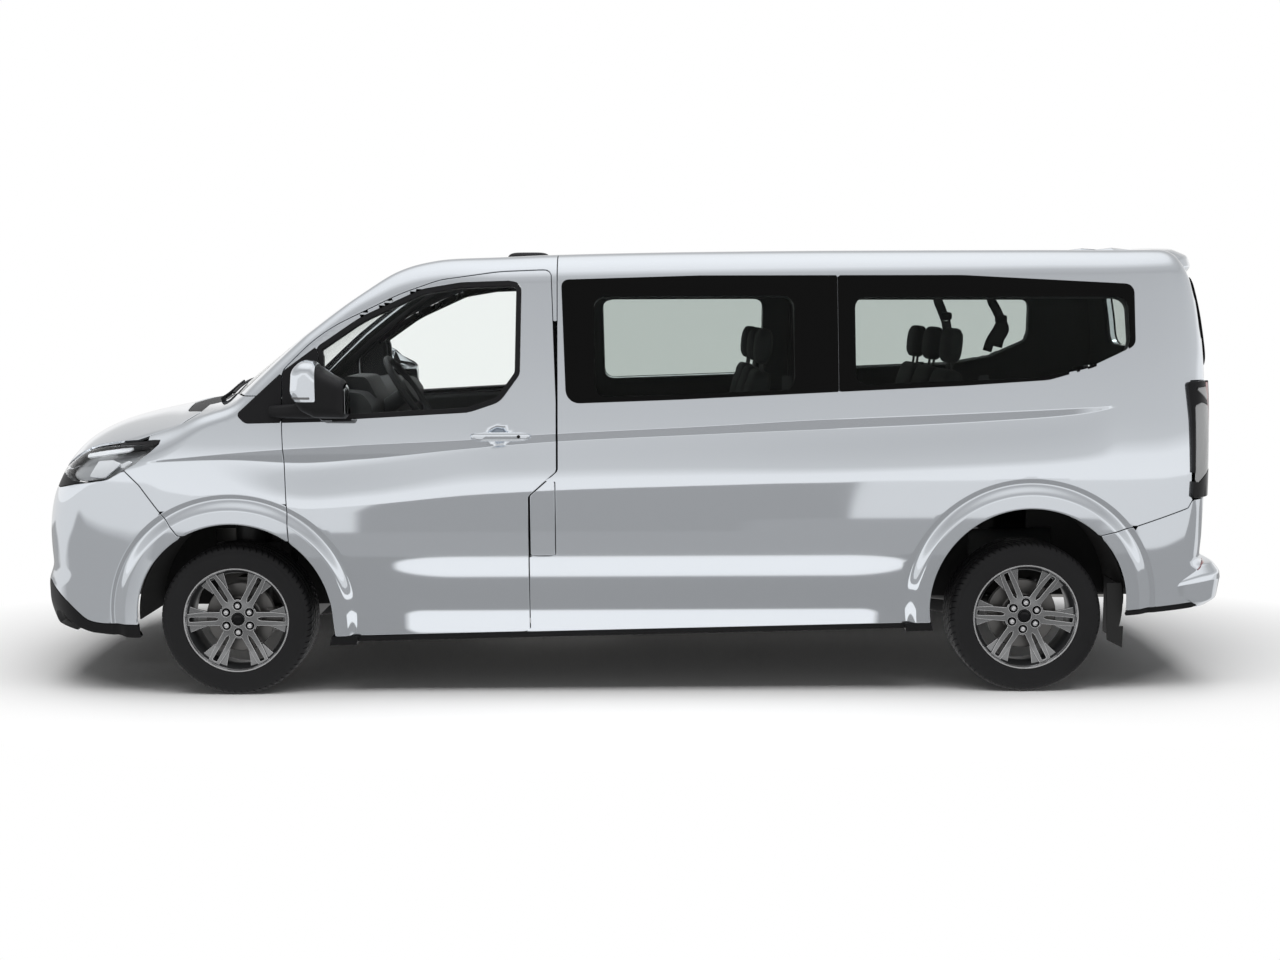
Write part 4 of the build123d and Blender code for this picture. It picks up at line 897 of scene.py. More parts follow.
# ---- Trims, cowl and black patches ----
HAIR = 0.0004              # a flush piece's edge radius
flush = {"roll": HAIR, "gap": -HAIR}


def rays_screen(y, h):
    """Square to the windscreen: h runs up its slope from the cowl."""
    slope, out = np.array([-0.818, 0.0, 0.575]), np.array([0.575, 0.0, 0.818])
    start = np.array([1.87, 0.0, 1.29]) + h[..., None] * slope - 0.35 * out
    return straight(start + y[..., None] * np.array([0.0, 1.0, 0.0]), out)


cowl_field = within(side_of(x=FRONT_X + 0.02), side_of(x=FRONT_X + 0.42, above=False),
                    side_of(y=0.79, above=False), side_of(z=1.238))
panel("cowl_cover",
      skin(rays_up, without(cowl_field, bonnet_region, screen_region), ((1.70, 2.16), (-0.80, 0.80)), 0.03,
           form=0.004, step=0.015), [SATIN_BLACK], "body", sides=("left",), instead=["cowl"])

panel("front_lower_trim",
      skin(rays_nose,
           without(within(bumper, front_strip, side_of(x=FRONT_X + 0.20)), front_arch, front_chin, intake),
           ((-1.72, 1.72), (0.12, 0.60)), 0.035, form=0.001), [SATIN_BLACK], "body",
      sides=("left",))
panel("rear_lower_trim",
      skin(rays_tail,
           without(within(rear_bumper, rear_strip, side_of(x=-1.9, above=False)), rear_arch, rear_chin),
           ((-1.55, 1.55), (0.24, 0.55)), 0.03, form=0.001), [SATIN_BLACK], "body",
      sides=("left",))

# ---- Glass ----
for name, part, clear, span in (("front", side_of(x=BAND_SPLIT + 0.0008), clears[0],
                                 ((-0.96, 0.30), (1.27, 1.86))),
                                ("rear", side_of(x=BAND_SPLIT - 0.0008, above=False), clears[1],
                                 ((-2.27, -0.93), (1.34, 1.86)))):
    region = within(band, part)
    panel(f"side_glass_{name}_border",
          skin(rays_side, without(region, clear), span, 0.004, form=-0.0012, roll=0.001, gap=-0.0006), [FRIT],
          "body", instead=["side_glass"])
    panel(f"side_glass_{name}_pane", skin(rays_side, clear, span, 0.004, form=-0.0010, step=0.022, **flush),
          [DARK_GLASS], "body", instead=["side_glass"])

window_inner = grown(door_window, -0.022)
panel("door_window_frame",
      skin(rays_side, without(door_window, window_inner), ((0.28, 1.45), (1.18, 1.85)), 0.040, form=0.001,
           step=0.008, gap=0.0003), [SATIN_BLACK], door_bodies)
panel("door_window_pane",
      skin(rays_side, grown(door_window, -0.016), ((0.28, 1.45), (1.18, 1.85)), 0.004, form=0.011, step=0.022,
           **flush), [CLEAR_GLASS], door_bodies, instead=glass_nodes)

patch = seen_side((1.692, 1.250, 0.02), (1.650, 1.209, 0.04), (1.180, 1.218), (1.180, 1.237), (1.300, 1.237),
                  (1.322, 1.50), (1.342, 1.545), (1.489, 1.437))
panel("mirror_patch_body",
      skin(rays_side, without(patch, door), ((1.40, 1.72), (1.19, 1.56)), 0.006, form=-0.0025, step=0.007),
      [SATIN_BLACK], "body")
panel("mirror_patch_door",
      skin(rays_side, without(within(patch, door), door_window), ((1.15, 1.52), (1.19, 1.56)), 0.006,
           form=-0.0025, step=0.007), [SATIN_BLACK], door_bodies)

screen_inner = grown(screen, -0.045)
panel("windscreen_border",
      skin(rays_screen, without(screen_region, screen_inner), ((-0.83, 0.83), (-0.02, 1.02)), 0.005,
           form=0.002, step=0.015, roll=0.001, gap=0.001), [FRIT], "body", sides=("left",),
      instead=["windscreen"])
panel("windscreen_pane",
      skin(rays_screen, within(screen_inner, screen_region), ((-0.83, 0.83), (-0.02, 1.02)), 0.005,
           form=0.002, step=0.02, **flush), [CLEAR_GLASS], "body", sides=("left",),
      instead=["windscreen"])

rear_glass = seen_front((0, 1.432), (0.778, 1.432, 0.06), (0.722, 1.835, 0.05), (0, 1.835))
panel("tailgate_glass_border",
      skin(rays_back, without(within(rear_glass, gate_region), rear_clear), ((-0.80, 0.80), (1.42, 1.85)),
           0.014, form=-0.012, roll=0.006, gap=0.0), [FRIT], "tailgate", sides=("left",),
      instead=["tailgate_glass"])
panel("tailgate_glass_pane",
      skin(rays_back, within(rear_clear, gate_region), ((-0.80, 0.80), (1.42, 1.85)), 0.005, form=-0.012,
           step=0.022, **flush), [DARK_GLASS], "tailgate", sides=("left",),
      instead=["tailgate_glass"])

# ---- Lamps ----
lamp_core = grown(lamp, -0.007)
brow = seen_side((2.80, 1.03), (2.485, 1.030), (2.416, 1.083, 0.05), (2.27, 1.106, 0.2), (2.00, 1.123),
                 (2.00, 1.30), (2.80, 1.30))
chin = seen_side((2.80, 0.80), (2.80, 0.975), (2.50, 0.978), (2.43, 0.957, 0.03), (2.32, 0.956, 0.1),
                 (2.20, 0.985), (2.10, 0.90))
lens = without(within(lamp_core, side_of(y=0.575)), brow, chin)
lamp_span = ((0.45, 1.60), (0.86, 1.16))
panel("headlamp_black",
      skin(rays_nose, without(lamp_region, lens), lamp_span, 0.045, form=0.0015, step=0.007, gap=0.0005),
      [SATIN_BLACK], "body", instead=["headlamps"])
panel("headlamp_cover", skin(rays_nose, lens, lamp_span, 0.003, form=0.0012, step=0.01, **flush),
      [LAMP_CLEAR], "body", instead=["headlamps"])
panel("headlamp_bowl", skin(rays_nose, grown(lens, 0.004), lamp_span, 0.012, form=0.045, step=0.01, **flush),
      [LAMP_BOWL], "body", instead=["headlamps"])
light_brow = seen_side((2.40, 1.070), (2.32, 1.085), (2.20, 1.103), (2.13, 1.110), (2.17, 1.085),
                       (2.28, 1.067), (2.38, 1.052))
light_main = seen_side((2.36, 0.972), (2.28, 0.968), (2.20, 1.035), (2.25, 1.052), (2.32, 1.045))
light_side = seen_side((2.19, 1.000), (2.14, 1.040), (2.17, 1.050), (2.215, 1.030))
for name, shape, deep in (("brow", light_brow, 0.012), ("main", light_main, 0.022),
                          ("side", light_side, 0.018)):
    panel(f"headlamp_light_{name}",
          skin(rays_nose, within(shape, lens), lamp_span, 0.010, form=deep, step=0.006, roll=0.003),
          [LAMP_LIGHT], "body", instead=["headlamps"])

tail_frame_inner = grown(within(tail_lamp, side_of(y=0.830)), -0.010)
grey_side = seen_side((-2.507, 1.268, 0.01), (-2.540, 1.283, 0.03), (-2.62, 1.250), (-2.62, 1.010),
                      (-2.540, 0.955, 0.02), (-2.505, 0.925, 0.01))
grey_top = seen_side((-2.513, 1.345), (-2.62, 1.352), (-2.62, 1.255), (-2.57, 1.298))
red_back = within(tail_frame_inner, side_of(y=0.872, above=False))
tail_span = ((0.50, 1.35), (0.85, 1.39))
grey_zone = without(within(either(grey_side, grey_top), tail_frame_inner), red_back)
panel("tail_lamp_frame",
      skin(rays_tail, without(tail_lamp_region, either(grey_zone, red_back)), tail_span, 0.06, form=-0.016,
           step=0.008, roll=0.004), [GLOSS_BLACK], "body", instead=["tail_lamps"])
panel("tail_lamp_grey", skin(rays_tail, grey_zone, tail_span, 0.006, form=-0.0145, step=0.007, gap=-0.002),
      [TAIL_GREY], "body", instead=["tail_lamps"])
panel("tail_lamp_red", skin(rays_tail, red_back, tail_span, 0.006, form=-0.0145, step=0.007, gap=-0.002),
      [LAMP_RED], "body", instead=["tail_lamps"])
panel("tail_lamp_case", skin(rays_tail, tail_lamp_region, tail_span, 0.010, form=0.048, step=0.02),
      [SATIN_BLACK], "body", instead=["tail_lamps"])
reflector = seen_side((-2.525, 0.533), (-2.600, 0.540), (-2.600, 0.578), (-2.578, 0.578))
panel("bumper_reflector",
      skin(rays_tail, within(reflector, side_of(y=0.80)), ((0.8, 1.35), (0.50, 0.61)), 0.006, form=-0.0035,
           step=0.005, roll=0.001), [LAMP_RED], "body")


# ---- Closed shapes ----
def outward(points, faces):
    """Faces of a closed mesh, wound so that its volume, a sum of triple products, is positive."""
    a, b, c, d = (points[faces[:, i]] for i in range(4))
    volume = np.sum(a * np.cross(b, c)) + np.sum(a * np.cross(c, d))
    return faces if volume > 0 else turn_over(faces)


def lattice(rows, columns, wrap_rows=False, wrap_columns=True):
    """Quads of a grid of rows by columns, numbered row after row, closed on itself where asked."""
    i, j = np.meshgrid(np.arange(rows if wrap_rows else rows - 1),
                       np.arange(columns if wrap_columns else columns - 1), indexing="ij")
    k, m = (i + 1) % rows, (j + 1) % columns
    return np.stack([i * columns + j, k * columns + j, k * columns + m, i * columns + m], -1).reshape(-1, 4)


def closed(grid, wrap_rows=False):
    """Points and outward faces of a grid whose columns wrap; each open end gets a fan to its middle."""
    rows, columns = grid.shape[:2]
    points, faces = grid.reshape(-1, 3), lattice(rows, columns, wrap_rows)
    if not wrap_rows:
        ring = np.arange(columns)
        ends = np.stack([grid[0].mean(0), grid[-1].mean(0)])
        first, last = len(points), len(points) + 1
        middle0, middle1 = np.full(columns, first), np.full(columns, last)
        base = (rows - 1) * columns
        fan0 = np.stack([ring, (ring + 1) % columns, middle0, middle0], -1)
        fan1 = np.stack([base + (ring + 1) % columns, base + ring, middle1, middle1], -1)
        points, faces = np.concatenate([points, ends]), np.concatenate([faces, fan0, fan1])
    return points, outward(points, faces)


def turned_grid(profile, count):
    """Rows of a profile of (radius, y) points turned about the Y axis: (r cos t, y, r sin t)."""
    r, y = np.array(profile, float).T
    t = np.linspace(0, 2 * math.pi, count, endpoint=False)
    return np.stack([r[:, None] * np.cos(t), np.broadcast_to(y[:, None], (len(r), count)),
                     r[:, None] * np.sin(t)], -1)


def lathe(profile, count=96):
    """A closed profile turned about Y, whose last point joins its first."""
    return closed(turned_grid(profile, count), wrap_rows=True)


def dome(profile, count=48):
    """An open profile, turned about Y and closed on the axis by fans."""
    return closed(turned_grid(profile, count))


def sweep(path, section, across=(0, 0, 1), scale=None):
    """A closed section of (a, b) points carried along a path, with a along across and b square to both."""
    path, section = np.array(path, float), np.array(section, float)
    along = np.gradient(path, axis=0)
    along /= np.linalg.norm(along, axis=1, keepdims=True)
    first = np.array(across, float) - along * np.sum(along * np.array(across, float), -1, keepdims=True)
    first /= np.linalg.norm(first, axis=1, keepdims=True)
    second = np.cross(along, first)
    scale = np.ones(len(path)) if scale is None else np.asarray(scale, float)
    grid = path[:, None] + scale[:, None,
                                 None] * (section[:, 0, None] * first[:, None] + section[:, 1, None]
                                          * second[:, None])
    return closed(grid)


def oval(half_a, half_b, power=2.0, count=24):
    """A superellipse section: |a/A|^p + |b/B|^p = 1."""
    t = np.linspace(0, 2 * math.pi, count, endpoint=False)
    c, s = np.cos(t), np.sin(t)
    return np.stack([half_a * np.sign(c) * np.abs(c) ** (2 / power),
                     half_b * np.sign(s) * np.abs(s) ** (2 / power)], -1)


def curve(points, count=40):
    """A smooth path through a few points: monotone cubics of each coordinate against the chord's length."""
    p = np.array(points, float)
    length = np.concatenate([[0], np.cumsum(np.linalg.norm(np.diff(p, axis=0), axis=1))])
    t = np.linspace(0, length[-1], count)
    return np.stack([line(*zip(length, p[:, i] + np.arange(len(p)) * 1e-9), soft=0)(t) for i in range(3)], -1)


def joined(*shapes):
    """Several (points, faces, material number) shapes as one mesh's points, faces and material numbers."""
    points, faces, groups, base = [], [], [], 0
    for p, f, group in shapes:
        points.append(p)
        faces.append(f + base)
        groups.append(np.full(len(f), group) if np.isscalar(group) else group)
        base += len(p)
    return np.concatenate(points), np.concatenate(faces), np.concatenate(groups)


def solid(name, shape, materials, body, slot, instead=(), sides=("left",), sharp=35.0):
    """A closed piece, or a left one and its mirror image, with edges past the sharp angle kept crisp."""
    made = []
    points, faces, groups = shape if len(shape) == 3 else (*shape, np.zeros(len(shape[1]), int))
    for side in sides:
        p, f = (points, faces) if side == "left" else (points * np.array([1, -1, 1]), turn_over(faces))
        piece = build(f"{name}_{side}" if len(sides) > 1 else name, p, f, groups, materials)
        piece.data.set_sharp_from_angle(angle=math.radians(sharp))
        belongs(piece, side, body, instead)
        made.append(piece)
    return made


# ---- Wheels and tyres ----
SPOKES = 6
NUT_RING = 0.060
LIP = 0.2265
bar_half = line((0.0, 0.031), (0.07, 0.031), (0.14, 0.031), (0.23, 0.0255), soft=0.004)
foot_half = line((0.10, 0.028), (0.135, 0.033), (0.222, 0.0635), (0.26, 0.078), soft=0.003)
face_line = line((-0.1, 0.069), (0.0, 0.069), (0.05, 0.0685), (0.09, 0.066), (0.15, 0.069), (0.20, 0.078),
                 (0.24, 0.088), soft=0.008)
slot_shape = outline((0.084, 0.0, 0.001), (0.100, 0.0075, 0.006), (0.150, 0.0095, 0.05),
                     (0.2135, 0.0105, 0.004), (0.2135, -0.0105, 0.004), (0.150, -0.0095, 0.05),
                     (0.100, -0.0075, 0.006))


def spoke_folded(p):
    """Distance from the hub, then the place along and across the nearest spoke."""
    radius = np.hypot(p[..., 0], p[..., 2])
    angle = np.arctan2(p[..., 2], p[..., 0])
    sector = 2 * math.pi / SPOKES
    near = (angle + sector / 2) % sector - sector / 2
    return radius, radius * np.cos(near), radius * np.sin(near)


def spoke_star(p):
    """Paired bars with a slot between them and the lobed hub, less the nuts' pockets and the cap's hole."""
    radius, along, across = spoke_folded(p)
    side = np.abs(across)
    bars = np.maximum.reduce([side - bar_half(along), 0.045 - along, radius - LIP,
                              -outline_depth(along, across, slot_shape)])
    nut = np.hypot(along - NUT_RING * math.cos(math.pi / SPOKES),
                   side - NUT_RING * math.sin(math.pi / SPOKES))
    hub = np.minimum(radius - 0.064, nut - 0.0285)
    return np.maximum.reduce([np.minimum(bars, hub), 0.0195 - nut, 0.0300 - radius])


def spoke_feet(p):
    """The flat feet that spread beside each pair of bars towards the rim."""
    radius, along, across = spoke_folded(p)
    side = np.abs(across)
    return np.maximum.reduce([side - foot_half(along), 0.122 - along, radius - LIP,
                              bar_half(along) - 0.004 - side])


def wheel_face(p):
    return p[..., 1] - face_line(np.hypot(p[..., 0], p[..., 2]))


def rays_wheel(x, z):
    return straight(np.stack([x, np.full_like(x, 0.0), z], -1), (0, 1, 0))


wheel_span = ((-0.2295, 0.2295), (-0.2295, 0.2295))
star = skin(rays_wheel, spoke_star, wheel_span, 0.024, step=0.0046, roll=0.0022, gap=0.0, solid=wheel_face)
feet = skin(rays_wheel, spoke_feet, wheel_span, 0.016, step=0.0058, form=0.0055, roll=0.0016, gap=0.0,
            solid=wheel_face)
rim_profile = [(0.2262, 0.0905), (0.2268, 0.0955), (0.2285, 0.0975), (0.2330, 0.0978), (0.2352, 0.0958),
               (0.2362, 0.0910), (0.2362, 0.084), (0.230, 0.078), (0.226, 0.0), (0.226, -0.07),
               (0.2362, -0.085), (0.2362, -0.093), (0.233, -0.0945), (0.226, -0.0935), (0.2215, -0.085),
               (0.2175, -0.05), (0.2110, 0.0), (0.2050, 0.036), (0.2070, 0.058), (0.2150, 0.075),
               (0.2235, 0.0860)]
rim_groups = np.repeat([1, 1, 1, 1, 1, 2, 2, 2, 2, 2, 2, 2, 2, 2, 0, 0, 0, 0, 0, 0, 1], 120)
rim_points, rim_faces = lathe(rim_profile, 120)
nut_profile = [(0.0035, 0.0790), (0.0070, 0.0775), (0.0100, 0.0748), (0.0120, 0.0710), (0.0130, 0.0660),
               (0.0130, 0.0450)]
nut_points, nut_faces = dome(nut_profile, 24)
nut_angles = [math.radians(60 * k + 30) for k in range(6)]
nuts = [(nut_points + np.array([NUT_RING * math.cos(t), 0, NUT_RING * math.sin(t)]), nut_faces, 0)
        for t in nut_angles]
cap_profile = [(0.006, 0.0722), (0.014, 0.0718), (0.0195, 0.0705), (0.0205, 0.0690), (0.0222, 0.0690),
               (0.0235, 0.0708), (0.0275, 0.0700), (0.0292, 0.0670), (0.0292, 0.046)]
disc_profile = [(0.062, -0.012), (0.152, -0.012), (0.1545, -0.010), (0.1545, -0.004), (0.150, -0.003),
                (0.150, 0.003), (0.1545, 0.004), (0.1545, 0.010), (0.152, 0.012), (0.098, 0.012),
                (0.092, 0.010), (0.086, 0.014), (0.083, 0.038), (0.080, 0.041), (0.062, 0.041)]
# A gloss black disc behind the nut pockets and the cap: painted shade on the pocket floors.
painted_shade_well_profile = [(0.020, 0.0475), (0.086, 0.0475), (0.088, 0.0455), (0.088, 0.042), (0.020, 0.042)]

PITCHES = 72
TREAD = [(0.2362, 0.0955), (0.2385, 0.0995), (0.2440, 0.1010), (0.2480, 0.1030), (0.2520, 0.1035),
         (0.2600, 0.1052), (0.2700, 0.1066), (0.2830, 0.1074), (0.2950, 0.1068), (0.3030, 0.1056),
         (0.3040, 0.1046), (0.3120, 0.1028), (0.3190, 0.1000), (0.3250, 0.0965), (0.3295, 0.0915),
         (0.3325, 0.0855), (0.3342, 0.0790), (0.3350, 0.0700), (0.3352, 0.0615), (0.3290, 0.0600),
         (0.3290, 0.0530), (0.3354, 0.0515), (0.3358, 0.0400), (0.3359, 0.0265), (0.3295, 0.0250),
         (0.3295, 0.0180), (0.3360, 0.0165), (0.3360, 0.0)]


def tyre_shape():
    """A tyre: its section turned about Y, with slots between shoulder blocks and cuts in the ribs."""
    half = np.array(TREAD)
    section = np.concatenate([half, half[-2::-1] * (1, -1), [[0.2362, -0.06], [0.2362, 0.06]]])
    r, y = section.T
    share = np.array([0.0, 0.07, 0.14, 0.93])
    depth_at = np.array([1.0, 1.0, 0.0, 0.0])
    t = ((np.arange(PITCHES)[:, None] + share) / PITCHES * 2 * math.pi).ravel()
    cut = np.tile(depth_at, PITCHES)
    shoulder = fade(np.abs(y), 0.056, 0.060) * (1 - fade(np.abs(y), 0.0975, 0.101)) * (r > 0.31)
    middle = (np.abs(y) < 0.0165) | ((np.abs(y) > 0.026) & (np.abs(y) < 0.052))
    depth = np.where(shoulder > 0, 0.0055 * shoulder, np.where(middle & (r > 0.334), 0.0028, 0))
    slant = np.where(r > 0.30, 1.6 * np.abs(y) / 0.1 * 2 * math.pi / PITCHES, 0)
    radius = r[:, None] - depth[:, None] * cut
    inward = 0.0016 * shoulder[:, None] * cut * np.sign(y)[:, None]
    angle = t[None] + slant[:, None]
    grid = np.stack([radius * np.cos(angle), y[:, None] - inward, radius * np.sin(angle)], -1)
    return closed(grid, wrap_rows=True)


tyre_points, tyre_faces = tyre_shape()
turns = {"front": 0.0, "rear": math.radians(5.0)}
for end, axle_x in (("front", FRONT_X), ("rear", REAR_X)):
    c, s = math.cos(turns[end]), math.sin(turns[end])
    turned = np.array([[c, 0, -s], [0, 1, 0], [s, 0, c]]).T
    for side in ("left", "right"):
        flip = np.array([1, 1 if side == "left" else -1, 1])
        body, tag = f"wheel_{end}_{side}", f"{end}_{side}"

        def place(points):
            return (points @ turned) * flip + (axle_x, TRACK_Y * flip[1], HUB_Z)

        def hand(faces):
            return faces if side == "left" else turn_over(faces)

        for name, arrays in (("spokes", star), ("spoke_feet", feet)):
            p, f, g, n = arrays
            piece = build(f"{name}_{tag}", place(p), hand(f), g, [ALLOY, ALLOY_DARK, MACHINED, ALLOY_DARK],
                          (n @ turned) * flip)
            belongs(piece, side, body, [body])
        # The wheel's cap piece also carries the black well behind the nut pockets, whose black is painted
        # shade.
        parts = [("rim", [(rim_points, rim_faces, rim_groups)], [ALLOY_DARK, MACHINED, ALLOY_DARK], "alloy"),
                 ("wheel_nuts", nuts, [CHROME], "steel"),
                 ("wheel_cap", [(*dome(cap_profile), 0), (*lathe(painted_shade_well_profile, 48), 0)], [GLOSS_BLACK],
                  "gloss_black"), ("brake_disc", [(*lathe(disc_profile, 96), 0)], [IRON], "cast_iron")]
        for name, shapes, materials, slot in parts:
            p, f, g = joined(*shapes)
            solid(f"{name}_{tag}", (place(p), hand(f), g), materials, body, slot, instead=[body])
        solid(f"tyre_{tag}", (place(tyre_points), hand(tyre_faces)), [TYRE], body, "tyre",
              instead=[f"tyre_{tag}"], sharp=28.0)

# ---- Mirrors ----
mirror_shape = outline(*from_front((-543, 1236, 20), (-543, 1392, 60), (-446, 1442, 50), (-402, 1486, 50),
                                   (-345, 1490, 60), (-300, 1450, 70), (-290, 1345, 60), (-335, 1270, 60),
                                   (-400, 1238, 30)))


def mirror_depth(p):
    """The mirror's head: its side outline, thinned outwards, rounded into flat ends at y 0.99 and 1.135."""
    y = p[..., 1]
    side = outline_depth(p[..., 0], p[..., 2], mirror_shape) + 0.10 * np.maximum(y - 1.03, 0) ** 1.5 * 4
    end = np.abs(y - 1.0615) - 0.0735
    return smooth_max(side, end, 0.045)


def rays_fan(a, b):
    """A fan of rays from inside the mirror's head: angles a and b, in degrees, away from straight out."""
    start = np.stack([np.full_like(a, FRONT_X - 0.42), np.full_like(a, 1.005), np.full_like(a, 1.365)], -1)
    way = np.stack([np.tan(np.radians(a)), np.ones_like(a), np.tan(np.radians(b))], -1)
    return start, way / np.linalg.norm(way, axis=-1, keepdims=True)


cap_zone = within(side_of(x=FRONT_X - 0.415), side_of(z=1.312))
glass_zone = within(side_of(x=FRONT_X - 0.532, above=False),
                    lambda p: outline_depth(p[..., 1], p[..., 2],
                                            outline((1.000, 1.255, 0.02), (1.122, 1.260, 0.03),
                                                    (1.118, 1.410, 0.03), (1.000, 1.420, 0.02))))
everywhere = lambda p: np.full(p.shape[:-1], -1.0)
fan_span = ((-83.0, 83.0), (-83.0, 83.0))
panel("mirror_cap",
      skin(rays_fan, cap_zone, fan_span, 0.004, step=3.0, roll=0.0015, gap=0.0008, solid=mirror_depth),
      [PAINT, SATIN_BLACK], door_bodies, instead=mirror_nodes)
panel("mirror_housing",
      skin(rays_fan, without(everywhere, cap_zone, glass_zone), fan_span, 0.004, step=3.0, roll=0.0015,
           gap=0.0008, solid=mirror_depth), [SATIN_BLACK], door_bodies, instead=mirror_nodes)
panel("mirror_glass",
      skin(rays_fan, glass_zone, fan_span, 0.003, step=3.0, form=0.003, roll=0.001, gap=0.0,
           solid=mirror_depth), [MIRROR], door_bodies)
panel("mirror_indicator",
      skin(rays_fan,
           within(cap_zone, side_of(z=1.324), side_of(z=1.334, above=False), side_of(x=FRONT_X - 0.392)),
           fan_span, 0.003, step=1.2, form=-0.0008, roll=0.0008, gap=0.0, solid=mirror_depth), [LAMP_SMOKE],
      door_bodies)
arm_path = curve([(1.530, 0.955, 1.262), (1.480, 0.985, 1.264), (1.420, 1.015, 1.268), (1.350, 1.042, 1.272),
                  (1.280, 1.055, 1.276)], 24)
solid("mirror_arm", sweep(arm_path, oval(0.036, 0.034, 2.6), scale=np.linspace(0.75, 1.0, 24)), [SATIN_BLACK],
      door_bodies, "black_plastic", sides=("left", "right"))

# ---- Handles ----
t = np.linspace(-1, 1, 41)
grip_path = np.stack([0.533 + 0.130 * t, 1.004 + 0.024 * (1 - np.abs(t) ** 6) + 0.003 * (1 - t ** 2),
                      1.1535 + 0.0 * t], -1)
grip = sweep(grip_path, oval(0.0200, 0.0100, 3.0), scale=0.35 + 0.65 * (1 - np.abs(t) ** 8))
solid("door_handle", grip, [PAINT], door_bodies, "paint", sides=("left", "right"), sharp=80)
lock_points, lock_faces = dome([(0.003, 0.002), (0.0065, 0.0018), (0.0075, 0.0), (0.0075, -0.012)], 24)
solid("door_lock", (lock_points + (0.452, 1.0400, 1.1545), lock_faces), [SATIN_BLACK], door_bodies,
      "black_plastic", sides=("left", "right"))
slide_grip_path = grip_path * (1, -1, 1) + (0.110 - 0.533, 0.0, 0.0)
solid("sliding_door_handle",
      sweep(slide_grip_path, oval(0.0200, 0.0100, 3.0), scale=0.35 + 0.65 * (1 - np.abs(t) ** 8)), [PAINT],
      "body", "paint", sharp=80)

# ---- Roof ----
spoiler_shape = outline(*[(REAR_X + x / 1000, z / 1000, r) for x, z,
                          r in ((-560, 1925, 0.01), (-575, 1964, 0.04), (-720, 1981, 0.2), (-815, 1979, 0.08),
                                (-885, 1950, 0.03), (-903, 1902, 0.02), (-880, 1868, 0.02),
                                (-790, 1860, 0.05), (-700, 1880, 0.1))])


def spoiler_grid(count=61):
    """The roof spoiler: its outline carried across, 152 mm forward and 34 mm down at its rounded ends."""
    y = np.sin(np.linspace(-math.pi / 2, math.pi / 2, count)) * 0.722
    share = np.abs(y) / 0.722
    shrink = np.maximum(1 - share ** 14, 0.0) ** 0.5 * 0.55 + 0.45
    middle = np.array([REAR_X - 0.68, 1.925])
    section = middle + (spoiler_shape - middle) * shrink[:, None, None]
    x = section[..., 0] + 0.152 * share[:, None] ** 2.2
    z = section[..., 1] - 0.034 * share[:, None] ** 2
    return np.stack([x, np.broadcast_to(y[:, None], x.shape), z], -1)


solid("roof_spoiler", closed(spoiler_grid()), [PAINT], "tailgate", "paint", instead=["tailgate"], sharp=50)
u, v = np.meshgrid(np.linspace(-1, 1, 25), np.linspace(-1, 1, 21), indexing="ij")
u, v = np.sin(u * math.pi / 2), np.sin(v * math.pi / 2)
pod_top = 1.936 + 0.040 * ((1 - np.abs(u) ** 5) * (1 - np.abs(v) ** 5)) ** 0.3
pod_low = np.full_like(pod_top, 1.925)
pod_x, pod_y = FRONT_X - 1.250 + 0.102 * u, 0.065 * v


def two_sheets(x, y, top, low):
    """A piece between an upper and a lower height field over the same grid, joined round their rim."""
    rows, columns = x.shape
    upper, lower = np.stack([x, y, top], -1).reshape(-1, 3), np.stack([x, y, low], -1).reshape(-1, 3)
    quads = lattice(rows, columns, wrap_columns=False)
    count = rows * columns
    index = np.arange(count).reshape(rows, columns)
    rim = np.concatenate([index[0, :-1], index[:-1, -1], index[-1, :0:-1], index[:0:-1, 0]])
    after = np.roll(rim, -1)
    walls = np.stack([rim, after, after + count, rim + count], -1)
    points = np.concatenate([upper, lower])
    faces = np.concatenate([quads[:, ::-1], quads + count, walls])
    return points, outward(points, faces)


solid("roof_aerial", two_sheets(pod_x, pod_y, pod_top, pod_low), [SATIN_BLACK], "body", "black_plastic",
      instead=["roof_pod"], sharp=60)


# ---- Seats and belts ----
def pillow(half, power=5.0, crown=0.12, rows=22, columns=48):
    """A padded block: a superellipsoid, its wide faces crowned by cos(x) cos(y), with a stitched line."""
    a, b, c = half
    lat, lon = np.meshgrid(np.linspace(-math.pi / 2, math.pi / 2, rows + 2)[1:-1],
                           np.linspace(0, 2 * math.pi, columns, endpoint=False), indexing="ij")

    def raised(value):
        return np.sign(value) * np.abs(value) ** (2 / power)

    x, y = raised(np.cos(lat)) * raised(np.cos(lon)), raised(np.cos(lat)) * raised(np.sin(lon))
    z = raised(np.sin(lat))
    bulge = 1 + crown * np.cos(x * math.pi / 2) * np.cos(y * math.pi / 2)
    stitch = np.exp(-((np.maximum(np.abs(x), np.abs(y)) - 0.80) / 0.035) ** 2) * (np.abs(z) > 0.6)
    z = z / (1 + crown) * bulge - np.sign(z) * stitch * 0.07
    return closed(np.stack([x * a, y * b, z * c], -1))


def leaned(points, angle, middle):
    """Points turned about Y by an angle that tips +Z backwards, then moved to their middle."""
    c, s = math.cos(angle), math.sin(angle)
    return points @ np.array([[c, 0, -s], [0, 1, 0], [s, 0, c]]).T + np.array(middle)


def tube(start, end, radius, count=16):
    path = np.linspace(np.array(start, float), np.array(end, float), 6)
    return sweep(path, oval(radius, radius, 2, count), across=(0, 1, 0))


